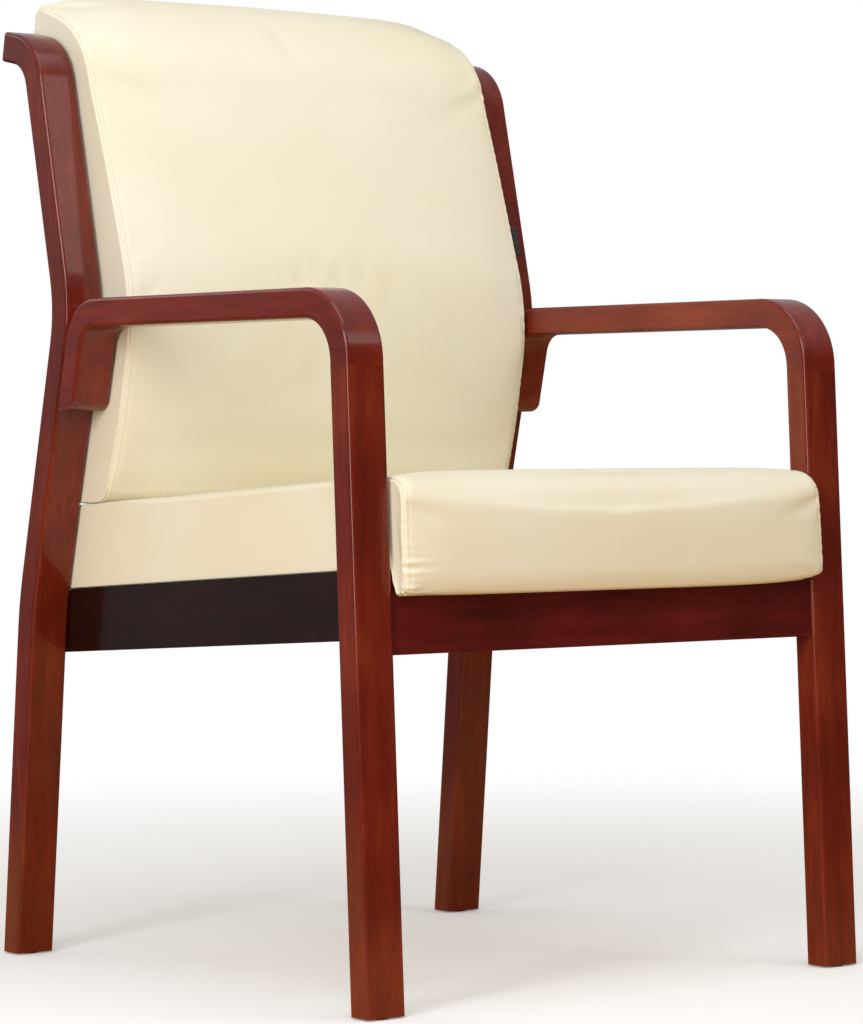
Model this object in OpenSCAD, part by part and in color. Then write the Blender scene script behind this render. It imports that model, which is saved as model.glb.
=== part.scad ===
/* [Side frames] */
// Overall width over the two side frames
frame_w = 580; // [540:5:640]
// Overall depth from the front roll of the seat to the heels of the rear legs
frame_d = 636; // [610:2:670]
// Width of the legs, arms and posts, across the chair
member_w = 41; // [36:1:46]
// Thickness of a front leg and its arm, seen from the side
arm_t = 28; // [24:1:32]
// Thickness of a rear post, seen from the side
post_t = 30; // [27:1:34]
// Rounding of the long edges
edge_r = 3.5; // [2:0.5:6]
// Height of the top of the arms at their front bend
arm_h = 643.5; // [630:0.5:660]
// Rise of the arms towards the back
arm_pitch = 0.9; // [0:0.1:2]
// Forward splay of the front legs
leg_splay = 2.2; // [0:0.1:4]
// Distance that the front roll of the seat stands forward of the front feet
seat_overhang = 6; // [2:1:16]
// Outer radius of the bend between a front leg and its arm
arm_bend_r = 68; // [50:1:80]
// Outer radius of the bend where the arm turns down the rear post
lug_bend_r = 50; // [40:1:54]
// Height of the lower end of the lug
lug_h = 542; // [525:1:560]
// Rounding of the lug's lower front corner
lug_corner_r = 20; // [8:1:22]

/* [Rear posts] */
// Height of the knee, where the rear leg turns more upright
knee_h = 352; // [335:1:365]
// Height of the waist, where the post turns back
waist_h = 640; // [630:1:650]
// Height of the corner of the scroll
scroll_h = 898; // [870:1:930]
// Backward rake of the rear leg below the knee
leg_rake = 6; // [4:0.1:8]
// Forward lean of the post between knee and waist
waist_lean = 14.2; // [12:0.1:16]
// Backward rake of the post above the waist
back_rake = 12.3; // [9:0.1:15]
// Rise of the scroll's tail above level
scroll_rise = 12; // [4:1:20]
// Length of the scroll's tail from its corner
scroll_len = 50; // [42:1:60]
// Radius of the knee at the middle of the post
knee_r = 400; // [250:10:500]
// Radius of the waist at the middle of the post
waist_r = 150; // [120:5:180]
// Radius of the scroll at the middle of the post
scroll_r = 45; // [42:1:50]

/* [Seat frame] */
// Height of the rails' top plane, halfway between front and back
rail_top_h = 378; // [365:1:390]
// Backward pitch of the seat
seat_pitch = 3; // [1:0.5:4]
// Thickness of the rails
rail_t = 20; // [18:1:22]
// Height of the front rail
front_rail_h = 76; // [70:1:84]
// Height of the side rails and the rear rail
rail_h = 62; // [56:1:68]
// Setback of the front rail behind the faces of the front legs
front_rail_setback = 4.5; // [2:0.5:6]
// Leg of a corner block, along each rail
block_leg = 60; // [50:1:70]
// Height of a corner block
block_h = 46; // [38:1:50]
// Diameter of the dowels
dowel_d = 8; // [6:1:9]
// Length of a dowel between a rail and a leg
rail_dowel_len = 40; // [30:2:48]
// Length of a dowel between a side rail and a cross rail
side_dowel_len = 32; // [26:1:34]
// Length of a dowel between leg and arm, or lug and post
frame_dowel_len = 36; // [28:2:40]

/* [Upholstery] */
// Thickness of the leather
leather_t = 1.5; // [1:0.1:2]
// Thickness of the seat board
board_t = 12; // [9:1:15]
// Height of the seat's side panels above the rails
seat_side_h = 86; // [76:1:96]
// Rise of the seat's crown above its roll
seat_crown = 10; // [6:1:16]
// Drop of the front roll below the rails' top plane
front_drop = 21; // [14:1:28]
// Radius of the seat's upper front edge, seen from the side
front_round_r = 26; // [12:1:36]
// Depth of the back pad forward of the posts' middle
back_side_t = 60; // [50:1:66]
// Rise of the back pad's crown above its roll
back_crown = 12; // [6:1:16]
// Height of the back pad's lower end at the middle of the post
back_bottom_h = 476; // [472:1:490]
// Length that the back pad passes the end of the scroll
back_top_over = 21; // [12:1:26]
// Thickness of the back's plywood core
core_t = 10; // [8:1:12]
// Thickness of the rear panel with its leather
rear_panel_t = 4; // [3:0.5:5]
// Width of a cleat between core and post
cleat_w = 30; // [24:1:36]
// Length of a cleat along the post
cleat_len = 70; // [50:2:90]

/* [Small parts] */
// Diameter of a foot glide
glide_d = 20; // [16:1:24]
// Height of a foot glide
glide_h = 5; // [4:0.5:7]
// Height that the glides hold the feet off the floor
glide_proud = 1.5; // [1:0.5:2]
// Diameter of a wood screw
screw_d = 4; // [3.5:0.5:5]
// Diameter of a wood screw's head
screw_head_d = 8; // [7:0.5:9]
// Length of the screws that hold the seat
seat_screw_len = 56; // [53:1:57]
// Length of the screws in the corner blocks
block_screw_len = 34; // [30:1:38]
// Length of the screws between cleat and post
cleat_screw_len = 42; // [38:1:44]
// Length of the screws between cleat and core
core_screw_len = 22; // [19:1:24]
// Length of the blank side tag
tag_len = 31; // [24:1:40]
// Width of the blank side tag
tag_w = 7; // [5:0.5:9]
// Thickness of the blank side tag
tag_t = 0.8; // [0.6:0.1:1.2]

/* [Hidden] */
$fn = 48;

wood_colour = "#7A2E1C";
inner_wood_colour = "#C9A878";
leather_colour = "#EFE6CB";
foam_colour = "#F3E9B0";
steel_colour = "#B9BCC0";
nylon_colour = "#2B2724";
tag_colour = "#2F2B2A";

// Overrun of every cut past the face that it opens
cut_over = 1;
// Gap between a soft piece and the wood beside it
soft_gap = 0.4;
// Clear inner width between the side frames
inner_w = frame_w - 2 * member_w;
half_inner = inner_w / 2;
frame_mid_x = frame_w / 2 - member_w / 2;

// Side view paths: every point is [y, z], and headings are measured from +y
function along(a) = [cos(a), sin(a)];
function left_of(a) = [-sin(a), cos(a)];
function at_height(p, a, z) = [p.x + (z - p.y) / tan(a), z];
// Where a line through p at heading a meets one through q at heading b
function meet(p, a, q, b) = p + cross(q - p, along(b)) / cross(along(a), along(b)) * along(a);
function heading(path, i) = let (d = path[i + 1] - path[i]) atan2(d.y, d.x);
function turn(path, i) = heading(path, i) - heading(path, i - 1);
function is_bend(path, i) = i > 0 && i < len(path) - 1;
function tangent(path, radii, i) = is_bend(path, i) ? radii[i] * tan(abs(turn(path, i)) / 2) : 0;
function run_start(path, radii, i) = path[i] + tangent(path, radii, i) * along(heading(path, i));
function run_len(path, radii, i) =
    norm(path[i + 1] - path[i]) - tangent(path, radii, i) - tangent(path, radii, i + 1);
function bend_len(path, radii, i) = radii[i] * abs(turn(path, i)) * PI / 180;
function bend_start(path, radii, i) = path[i] - tangent(path, radii, i) * along(heading(path, i - 1));
function bend_side(path, i) = turn(path, i) > 0 ? 1 : -1;
function bend_centre(path, radii, i) =
    bend_start(path, radii, i) + bend_side(path, i) * radii[i] * left_of(heading(path, i - 1));

// Place and heading at a distance along a path, as [point, heading]
function walk(path, radii, s, i = 0) =
    let (run = run_len(path, radii, i), a = heading(path, i), last = i == len(path) - 2)
    s <= run || last ? [run_start(path, radii, i) + s * along(a), a]
    : let (bend = bend_len(path, radii, i + 1), past = s - run, side = bend_side(path, i + 1))
      past <= bend
      ? let (b = a + side * past / radii[i + 1] * 180 / PI)
        [bend_centre(path, radii, i + 1) - side * radii[i + 1] * left_of(b), b]
      : walk(path, radii, past - bend, i + 1);
function path_len(path, radii, i = 0) =
    i == len(path) - 2 ? run_len(path, radii, i)
    : run_len(path, radii, i) + bend_len(path, radii, i + 1) + path_len(path, radii, i + 1);

// The same path moved to its left by a distance
function shifted_point(path, d, i) =
    i == 0 ? path[i] + d * left_of(heading(path, i))
    : i == len(path) - 1 ? path[i] + d * left_of(heading(path, i - 1))
    : path[i] + d / cos(turn(path, i) / 2) * left_of((heading(path, i - 1) + heading(path, i)) / 2);
function shifted_path(path, d) = [for (i = [0:len(path) - 1]) shifted_point(path, d, i)];
function shifted_radii(path, radii, d) =
    [for (i = [0:len(path) - 1]) is_bend(path, i) ? radii[i] - d * bend_side(path, i) : 0];

// Middle line of a rear post
foot_y = frame_d / 2 + glide_proud * tan(leg_rake) - post_t / 2 / cos(leg_rake);
post_foot = [foot_y, 0];
post_knee = at_height(post_foot, 90 + leg_rake, knee_h);
post_waist = at_height(post_knee, 90 + waist_lean, waist_h);
post_corner = at_height(post_waist, 90 - back_rake, scroll_h);
post_tail = post_corner + scroll_len * along(scroll_rise);
post_path = [post_foot - post_t * along(90 + leg_rake), post_knee, post_waist, post_corner, post_tail];
post_radii = [0, knee_r, waist_r, scroll_r, 0];

// Middle line of a front leg, its arm and the lug
leg_foot = [seat_overhang - frame_d / 2 + arm_t / 2, 0];
arm_z = arm_h - arm_t / 2;
arm_front = at_height(leg_foot, 90 - leg_splay, arm_z);
lug_gap_line = post_waist + (post_t + arm_t) / 2 * left_of(90 + waist_lean);
arm_rear = meet(arm_front, arm_pitch, lug_gap_line, 90 + waist_lean);
lug_end = at_height(arm_rear, 90 + waist_lean, lug_h - arm_t);
// Distance from the end of the front bend down to the joint of leg and arm
joint_drop = 6;
whole_arm = [leg_foot, arm_front, arm_rear, lug_end];
whole_arm_radii = [0, arm_bend_r - arm_t / 2, lug_bend_r - arm_t / 2, 0];
leg_joint = arm_front
    - (tangent(whole_arm, whole_arm_radii, 1) + joint_drop) * along(90 - leg_splay);
arm_path = [leg_joint, arm_front, arm_rear, lug_end];
leg_path = [leg_foot - arm_t * along(90 - leg_splay), leg_joint];

// Seat frame, in a frame pitched with the seat: y runs back and z is zero at the rails' top
front_rail_z = rail_top_h + frame_d / 2 * sin(seat_pitch) - front_rail_h / 2;
leg_face_y = at_height(leg_foot, 90 - leg_splay, front_rail_z).x - arm_t / 2 / cos(leg_splay);
rail_front = leg_face_y + front_rail_setback + front_rail_h / 2 * sin(seat_pitch);
rear_rail_z = rail_top_h - foot_y * sin(seat_pitch) - rail_h / 2;
rear_rail_mid = at_height(post_foot, 90 + leg_rake, rear_rail_z).x;
rail_back = rear_rail_mid + rail_t / 2 + rail_h / 2 * sin(seat_pitch);
block_drop = 2;
// Places of the dowels, as shares of the rail's height
front_dowel_shares = [0.2, 0.5, 0.8];
rear_dowel_shares = [0.2, 0.6];
side_dowel_shares = [0.43, 0.8];
// Spacing of a pair of dowels in the side frame, as a share of the member's width
pair_share = 0.45;
// Depth of the lug dowels below the top of the arm, as shares of the lug's height
lug_dowel_shares = [0.5, 0.78];

module in_side_plane() {
    rotate([90, 0, 90]) children();
}

module in_seat_frame() {
    translate([0, 0, rail_top_h]) rotate([-seat_pitch, 0, 0]) children();
}

module both_sides() {
    children();
    mirror([1, 0, 0]) children();
}

// Rounded section of a bar: x through its thickness, y across its width
module section(w, t, r) {
    if (r > 0) {
        square([t - 2 * r, w], center = true);
        square([t, w - 2 * r], center = true);
        for (sx = [-1, 1], sy = [-1, 1])
            translate([sx * (t / 2 - r), sy * (w / 2 - r)]) circle(r);
    } else {
        square([t, w], center = true);
    }
}

// Bar of constant section that follows a path in the side plane. Its runs reach into its bends by a
// lap and are a hair slimmer there, so that they join into one solid
lap = 0.5;
hair = 0.05;
module bent_bar(path, radii, w, t, r) {
    last = len(path) - 2;
    slim = last > 0 ? hair : 0;
    in_side_plane() {
        for (i = [0:last]) {
            before = i > 0 ? lap : 0;
            after = i < last ? lap : 0;
            start = run_start(path, radii, i) - before * along(heading(path, i));
            translate([start.x, start.y, 0]) rotate([0, 0, heading(path, i)]) rotate([90, 0, 90])
                linear_extrude(run_len(path, radii, i) + before + after)
                    section(w - 2 * slim, t - 2 * slim, max(r - slim, 0));
        }
        for (i = [1:1:last]) {
            centre = bend_centre(path, radii, i);
            first = turn(path, i) > 0 ? heading(path, i - 1) - 90 : heading(path, i) + 90;
            translate([centre.x, centre.y, 0]) rotate([0, 0, first])
                rotate_extrude(angle = abs(turn(path, i))) translate([radii[i], 0]) section(w, t, r);
        }
    }
}

// Cylinder whose middle lies at a point and whose axis runs across the chair
module cross_pin(d, length) {
    rotate([0, 90, 0]) cylinder(d = d, h = length, center = true);
}

// Cylinder that starts at a [y, z] point of the side plane and follows a heading
module side_pin(p, a, d, length, x = 0) {
    translate([x, p.x, p.y]) rotate([a - 90, 0, 0]) cylinder(d = d, h = length);
}

// Half space under the feet
module floor_cut() {
    translate([0, 0, glide_proud - frame_d / 2])
        cube([frame_w + 2 * member_w, 2 * frame_d, frame_d], center = true);
}

module glide_at(p, a, d, h) {
    translate([0, at_height(p, a, glide_proud).x, 0]) cylinder(d = d, h = h);
}

module arm_dowel_pins(d) {
    for (side = [-1, 1])
        side_pin(leg_joint - frame_dowel_len / 2 * along(90 - leg_splay), 90 - leg_splay, d,
                 frame_dowel_len, side * pair_share * member_w / 2);
}

module lug_dowel_pins(d) {
    a = 90 + waist_lean;
    for (share = lug_dowel_shares)
        side_pin(at_height(post_waist, a, arm_h - share * (arm_h - lug_h))
                 + (post_t / 2 + frame_dowel_len / 2) * left_of(a), a - 90, d, frame_dowel_len);
}

module front_rail_pins(d) {
    in_seat_frame()
        for (share = front_dowel_shares)
            translate([half_inner, rail_front + rail_t / 2, -share * front_rail_h])
                cross_pin(d, rail_dowel_len);
}

module rear_rail_pins(d) {
    in_seat_frame()
        for (share = rear_dowel_shares)
            translate([half_inner, rail_back - rail_t / 2, -share * rail_h])
                cross_pin(d, rail_dowel_len);
}

// Side rail dowels stand at both ends of a side rail and follow its length
module side_rail_pins(d) {
    in_seat_frame()
        for (y = [rail_front + rail_t, rail_back - rail_t], share = side_dowel_shares)
            translate([half_inner - rail_t / 2, y, -share * rail_h])
                rotate([90, 0, 0]) cylinder(d = d, h = side_dowel_len, center = true);
}

// A left piece is the mirror image of the right one, which stands at +x
module front_leg() {
    color(wood_colour) difference() {
        translate([frame_mid_x, 0, 0]) bent_bar(leg_path, [0, 0], member_w, arm_t, edge_r);
        translate([frame_mid_x, 0, 0]) {
            floor_cut();
            glide_at(leg_foot, 90 - leg_splay, glide_d, glide_h);
            arm_dowel_pins(dowel_d);
        }
        front_rail_pins(dowel_d);
    }
}

module arm() {
    a = 90 + waist_lean;
    front_low = at_height(arm_rear + arm_t / 2 * left_of(a), a, lug_h);
    centre = [front_low.x + lug_corner_r * tan(45 - waist_lean / 2), lug_h + lug_corner_r];
    on_face = front_low + lug_corner_r * tan(45 - waist_lean / 2) * along(a);
    color(wood_colour) difference() {
        translate([frame_mid_x, 0, 0]) bent_bar(arm_path, whole_arm_radii, member_w, arm_t, edge_r);
        translate([frame_mid_x, 0, 0]) {
            // Level cut at the lower end of the lug, with its front corner rounded
            translate([0, lug_end.x, lug_h - arm_t])
                cube([2 * member_w, 4 * arm_t, 2 * arm_t], center = true);
            in_side_plane() translate([0, 0, -member_w]) linear_extrude(2 * member_w) difference() {
                polygon([front_low - [lug_corner_r, cut_over], [centre.x, lug_h - cut_over], centre,
                         on_face, on_face - [lug_corner_r, 0]]);
                translate(centre) circle(lug_corner_r);
            }
            arm_dowel_pins(dowel_d);
            lug_dowel_pins(dowel_d);
        }
    }
}

module rear_post() {
    color(wood_colour) difference() {
        translate([frame_mid_x, 0, 0]) bent_bar(post_path, post_radii, member_w, post_t, edge_r);
        translate([frame_mid_x, 0, 0]) {
            floor_cut();
            glide_at(post_foot, 90 + leg_rake, glide_d, glide_h);
            lug_dowel_pins(dowel_d);
        }
        rear_rail_pins(dowel_d);
        cleat_screw_pins();
    }
}

module front_leg_right() {
    front_leg();
}

module front_leg_left() {
    mirror([1, 0, 0]) front_leg();
}

module arm_right() {
    arm();
}

module arm_left() {
    mirror([1, 0, 0]) arm();
}

module rear_post_right() {
    rear_post();
}

module rear_post_left() {
    mirror([1, 0, 0]) rear_post();
}

module front_rail() {
    color(wood_colour) difference() {
        in_seat_frame() translate([-half_inner, rail_front, -front_rail_h])
            cube([inner_w, rail_t, front_rail_h]);
        both_sides() {
            front_rail_pins(dowel_d);
            side_rail_pins(dowel_d);
        }
        corner_block_pins();
    }
}

module rear_rail() {
    color(wood_colour) difference() {
        in_seat_frame() translate([-half_inner, rail_back - rail_t, -rail_h])
            cube([inner_w, rail_t, rail_h]);
        both_sides() {
            rear_rail_pins(dowel_d);
            side_rail_pins(dowel_d);
        }
        corner_block_pins();
    }
}

module side_rail() {
    color(wood_colour) difference() {
        in_seat_frame() translate([half_inner - rail_t, rail_front + rail_t, -rail_h])
            cube([rail_t, rail_back - rail_front - 2 * rail_t, rail_h]);
        side_rail_pins(dowel_d);
        corner_block_pins();
    }
}

module side_rail_right() {
    side_rail();
}

module side_rail_left() {
    mirror([1, 0, 0]) side_rail();
}

// Corner blocks: each stands in an inner corner of the seat frame, against both rails
block_land = 14;
block_x = half_inner - rail_t;
block_front = rail_front + rail_t;
block_back = rail_back - rail_t;
// Places of the screws along a block's leg, and of the seat screw from its corner
block_screw_share = 0.8;
seat_screw_share = 0.43;
module at_blocks() {
    corners = [[-block_x, block_front, 0], [block_x, block_front, 90],
               [block_x, block_back, 180], [-block_x, block_back, 270]];
    in_seat_frame()
        for (corner = corners)
            translate([corner.x, corner.y, -block_drop]) rotate([0, 0, corner.z]) children();
}

// Countersunk wood screw: its head ends at the origin and its shank runs up +z
module screw(length) {
    cylinder(d = screw_d, h = length);
    cylinder(d1 = screw_head_d, d2 = screw_d, h = screw_head_d - screw_d);
}

module at_block_screws() {
    place = block_screw_share * block_leg;
    face = block_leg + block_land - place;
    at_blocks() translate([0, 0, -block_h / 2]) {
        translate([place, face - screw_head_d / 2, 0]) rotate([90, 0, 0]) children();
        translate([face - screw_head_d / 2, place, 0]) rotate([0, -90, 0]) children();
    }
}

module at_seat_screws() {
    place = seat_screw_share * block_leg;
    at_blocks() translate([place, place, -block_h]) children();
}

module corner_blocks() {
    color(inner_wood_colour) difference() {
        at_blocks() translate([0, 0, -block_h]) linear_extrude(block_h)
            polygon([[0, 0], [block_leg, 0], [block_leg, block_land], [block_land, block_leg],
                     [0, block_leg]]);
        at_block_screws() {
            screw(block_screw_len);
            translate([0, 0, -screw_head_d]) cylinder(d = screw_head_d, h = screw_head_d);
        }
        at_seat_screws() screw(seat_screw_len);
    }
}

module corner_block_pins() {
    at_block_screws() screw(block_screw_len);
}

module rail_dowels() {
    color(inner_wood_colour) both_sides() {
        front_rail_pins(dowel_d);
        rear_rail_pins(dowel_d);
    }
}

module side_rail_dowels() {
    color(inner_wood_colour) both_sides() side_rail_pins(dowel_d);
}

module arm_dowels() {
    color(inner_wood_colour) both_sides() translate([frame_mid_x, 0, 0]) arm_dowel_pins(dowel_d);
}

module lug_dowels() {
    color(inner_wood_colour) both_sides() translate([frame_mid_x, 0, 0]) lug_dowel_pins(dowel_d);
}

module corner_block_screws() {
    color(steel_colour) at_block_screws() screw(block_screw_len);
}

module seat_screws() {
    color(steel_colour) at_seat_screws() screw(seat_screw_len);
}

// Pads: a pad's skin is a net of rows along its length and columns across it. A row is [share, angle]:
// its place between the pad's rounded corners, and how far it has gone round one
column_shares = [-1, -0.9, -0.65, -0.33, 0, 0.33, 0.65, 0.9, 1];
columns = len(column_shares);
corner_angles = [90, 60, 30];
// Rounding of a pad's corners, in plan
pad_corner_r = 14;
least_r = 1;
// How far the sides are drawn in between the corners
side_pull = 3;
// Rounding of a pad's lower edge
low_edge = 3;
// Width of the roll beside the top seam, its heights on both pads, and inset of the seam
roll_w = 11;
seat_roll_h = 3;
back_roll_h = 7;
seam_inset = 3;
// Powers that shape the crown across and along the pad: the higher, the flatter its middle
across_power = 2.6;
along_power = 5;
// Heights of the rings up the side panels
side_shares = [0.9, 0.6, 0.27];
// Clearance of a sheet's or board's edge inside the pad
board_inset = 6.5;
// Gap between a pad and the sheet or board inside it
pad_gap = 0.7;

function pad_rows(places) = concat(
    [for (a = corner_angles) [-1, a]], [for (place = places) [place, 0]],
    [for (i = [len(corner_angles) - 1:-1:0]) [1, corner_angles[i]]]);
function net_point(row, c, size, r, pull) =
    let (x = c * (size.x - r + r * cos(row[1])),
         v = row[0] * (size.y - r) + sign(row[0]) * r * sin(row[1]),
         dx = pull * c * (1 - pow(v / size.y, 2)),
         dv = pull * v / size.y * (1 - pow(x / size.x, 2)))
    [x - dx, v - dv];
function corner_r(inset) = max(pad_corner_r - inset, least_r);
function inside(size, inset) = size - [inset, inset];

// Net of a whole face, and the loop round its edge, as [x, y, share of side height, rise]
function net(rows, size, r, pull, share, rise, crown = 0) =
    [for (row = rows, c = column_shares)
        let (p = net_point(row, c, size, r, pull),
             bulge = (1 - pow(abs(c), across_power)) * (1 - pow(abs(p.y) / size.y, along_power)))
        [p.x, p.y, share, rise + crown * max(bulge, 0)]];
function edge_places(m) = concat(
    [for (j = [0:m - 1]) [j, columns - 1]], [for (i = [columns - 2:-1:1]) [m - 1, i]],
    [for (j = [m - 1:-1:0]) [j, 0]], [for (i = [1:columns - 2]) [0, i]]);
function ring(rows, size, r, pull, share, rise) =
    [for (q = edge_places(len(rows)))
        let (p = net_point(rows[q[0]], column_shares[q[1]], size, r, pull)) [p.x, p.y, share, rise]];

// Rings from the top seam down to the top of the lower edge
function side_rings(rows, size, skin) = concat(
    [ring(rows, inside(size, skin + seam_inset), corner_r(skin + seam_inset), side_pull, 1, -skin)],
    [for (share = side_shares) ring(rows, inside(size, skin), corner_r(skin), side_pull, share, 0)]);
function top_net(rows, size, skin, roll_h, crown) =
    net(rows, inside(size, skin + roll_w), corner_r(skin + roll_w), side_pull, 1, roll_h - skin, crown);

// Closed solid between an upper net and a lower net, joined by rings
module pad_solid(m, upper, rings, lower) {
    edge = [for (q = edge_places(m)) q[0] * columns + q[1]];
    n = len(edge);
    below = m * columns + len(rings) * n;
    loops = concat([edge], [for (k = [0:len(rings) - 1]) [for (i = [0:n - 1]) m * columns + k * n + i]],
                   [[for (i = edge) below + i]]);
    faces = concat(
        [for (j = [0:m - 2], i = [0:columns - 2])
            let (a = j * columns + i, b = a + columns) each [[a, b, b + 1], [a, b + 1, a + 1]]],
        [for (k = [0:len(loops) - 2], i = [0:n - 1])
            let (next = (i + 1) % n, p = loops[k], q = loops[k + 1])
            each [[p[i], p[next], q[next]], [p[i], q[next], q[i]]]],
        [for (j = [0:m - 2], i = [0:columns - 2])
            let (a = below + j * columns + i, b = a + columns) each [[a, b + 1, b], [a, a + 1, b + 1]]]);
    polyhedron(concat(upper, [for (r = rings) each r], lower), faces);
}

function reversed(list) = [for (i = [len(list) - 1:-1:0]) list[i]];

// Seat pad: its plan runs from the front roll to a step short of the rear rail's back
seat_rear_step = 6;
// Gap between the front roll and the face of the front rail
lip_gap = 1.5;
// Width of the leather that is turned under the seat board
seat_hem_w = 30;
// The front roll's lower edge is the foremost place of the chair
front_draw = least_r + side_pull * (1 - pow(1 - pad_corner_r / half_inner, 2));
seat_front = ((front_drop - low_edge) * sin(seat_pitch) - frame_d / 2) / cos(seat_pitch) - front_draw;
seat_rear = rail_back - seat_rear_step;
seat_mid = (seat_front + seat_rear) / 2;
seat_half = [half_inner - soft_gap, (seat_rear - seat_front) / 2];
seat_lip = rail_front - lip_gap;
seat_row_shares = [-0.85, -0.62, -0.3, 0, 0.3, 0.6, 0.85];
lip_row = (seat_lip - seat_mid) / (seat_half.y - pad_corner_r);
seat_rows = pad_rows(concat([-1, lip_row], seat_row_shares, [1]));
board_bottom = leather_t + 2 * soft_gap;
board_top = board_bottom + board_t;
board_front = rail_front + least_r;
// Share of the front drop that each of the foremost rows has
drop_shares = [1, 1, 1, 0.96];

// Fall of the side panel's top towards the front, at a distance behind the front of a skin
function front_fall(d, r) = d < r ? r - sqrt(pow(r, 2) - pow(r - max(d, 0), 2)) : 0;
function seat_point(q, skin) =
    let (fall = front_fall(q.y + seat_half.y - skin, front_round_r - skin))
    [q.x, q.y + seat_mid, q[2] * (seat_side_h - fall) + q[3]];
function seat_points(list, skin) = [for (q = list) seat_point(q, skin)];
function drop_share(row) = row < len(drop_shares) ? drop_shares[row] : 0;
// The foremost rows of a ring, lowered to the front roll's underside
function lowered(points, m, depth) =
    let (places = edge_places(m))
    [for (i = [0:len(points) - 1])
        let (p = points[i]) [p.x, p.y, p[2], p[3] - depth * drop_share(places[i][0])]];
// Size and middle of the pad's underside behind a line near the front rail
function under_size(inset, line) = [seat_half.x - inset, (seat_rear - inset - line) / 2];
function under_shift(inset, line) = (seat_rear - inset + line) / 2 - seat_mid;
function shifted(points, d) = [for (p = points) [p.x, p.y + d, p[2], p[3]]];
function under_ring(inset, line, rise) =
    shifted(ring(seat_rows, under_size(inset, line), least_r, 0, 0, rise), under_shift(inset, line));
function under_net(inset, line, rise) =
    shifted(net(seat_rows, under_size(inset, line), least_r, 0, 0, rise), under_shift(inset, line));
// All rings of one skin of the seat pad, with its underside at base and its front roll ending at line
function seat_rings(skin, base, line) =
    let (m = len(seat_rows), depth = base + front_drop - skin, step = low_edge + least_r,
         low = skin + step, high = skin + least_r)
    concat(side_rings(seat_rows, seat_half, skin),
        [lowered(ring(seat_rows, inside(seat_half, high), corner_r(high), side_pull, 0, base + low_edge),
                 m, depth),
         lowered(ring(seat_rows, inside(seat_half, low), corner_r(low), side_pull, 0, base), m, depth),
         lowered(under_ring(low + step, line, base), m, depth)]);

module seat_board() {
    color(inner_wood_colour) difference() {
        in_seat_frame() translate([board_inset - half_inner, board_front, board_bottom])
            cube([inner_w - 2 * board_inset, seat_rear - board_inset - board_front, board_t]);
        at_seat_screws() screw(seat_screw_len);
    }
}

module seat_foam() {
    skin = leather_t + soft_gap;
    line = seat_lip - skin;
    base = board_top + soft_gap;
    color(foam_colour) in_seat_frame() pad_solid(len(seat_rows),
        seat_points(top_net(seat_rows, seat_half, skin, seat_roll_h, seat_crown), skin),
        [for (r = seat_rings(skin, base, line)) seat_points(r, skin)],
        seat_points(under_net(skin + pad_corner_r, line + least_r, base), skin));
}

module seat_cover() {
    base = soft_gap + leather_t;
    line = seat_lip - leather_t;
    hem_line = seat_lip + seat_hem_w;
    outer = concat(seat_rings(0, soft_gap, seat_lip),
        [under_ring(pad_corner_r, seat_lip + least_r, soft_gap),
         under_ring(seat_hem_w, hem_line, soft_gap)]);
    inner = concat(seat_rings(leather_t, base, line),
        [under_ring(pad_corner_r, line + least_r, base), under_ring(seat_hem_w, hem_line, base)]);
    color(leather_colour) in_seat_frame() pad_solid(len(seat_rows),
        seat_points(top_net(seat_rows, seat_half, 0, seat_roll_h, seat_crown), 0),
        concat([for (r = outer) seat_points(r, 0)],
               [for (r = reversed(inner)) seat_points(r, leather_t)]),
        seat_points(top_net(seat_rows, seat_half, leather_t, seat_roll_h, seat_crown), leather_t));
}

// Back pad: it follows the post from above the seat to past the scroll
back_start = at_height(post_knee, 90 + waist_lean, back_bottom_h);
back_path = [back_start, post_waist, post_corner, post_tail + back_top_over * along(scroll_rise)];
back_radii = [0, waist_r, scroll_r, 0];
back_len = path_len(back_path, back_radii);
back_half = [half_inner - soft_gap, back_len / 2];
back_hem_w = 18;
// Layers of the back, measured forward of the posts' middle
core_back = 6;
core_front = core_back + core_t;
hem_back = core_back - pad_gap - leather_t;
cleat_front = hem_back - pad_gap;
panel_back = least_r - post_t / 2;
panel_front = panel_back + rear_panel_t;
// Depth of the pad's side panels, as [share of its length, share of the greatest depth]
back_depth_shares = [[0, 0.8], [0.06, 0.93], [0.16, 0.99], [0.4, 1.02], [0.54, 1], [0.67, 0.93],
                     [0.79, 0.73], [0.89, 0.65], [1, 0.65]];
// Rows lie closest where the path bends
run_step = 70;
bend_step = 11;
function spread(start, length, steps) = [for (k = [0:steps - 1]) start + length * k / steps];
function row_places(path, radii, i = 0, s = 0) =
    let (run = run_len(path, radii, i), run_rows = spread(s, run, ceil(run / run_step)))
    i == len(path) - 2 ? run_rows
    : let (bend = bend_len(path, radii, i + 1), steps = ceil(abs(turn(path, i + 1)) / bend_step))
      concat(run_rows, spread(s + run, bend, steps), row_places(path, radii, i + 1, s + run + bend));
back_free = back_half.y - pad_corner_r;
back_rows = pad_rows(concat([-1],
    [for (s = row_places(back_path, back_radii))
        let (share = (s - back_half.y) / back_free)
        if (abs(share) < 1 - roll_w / back_free) share], [1]));

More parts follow.
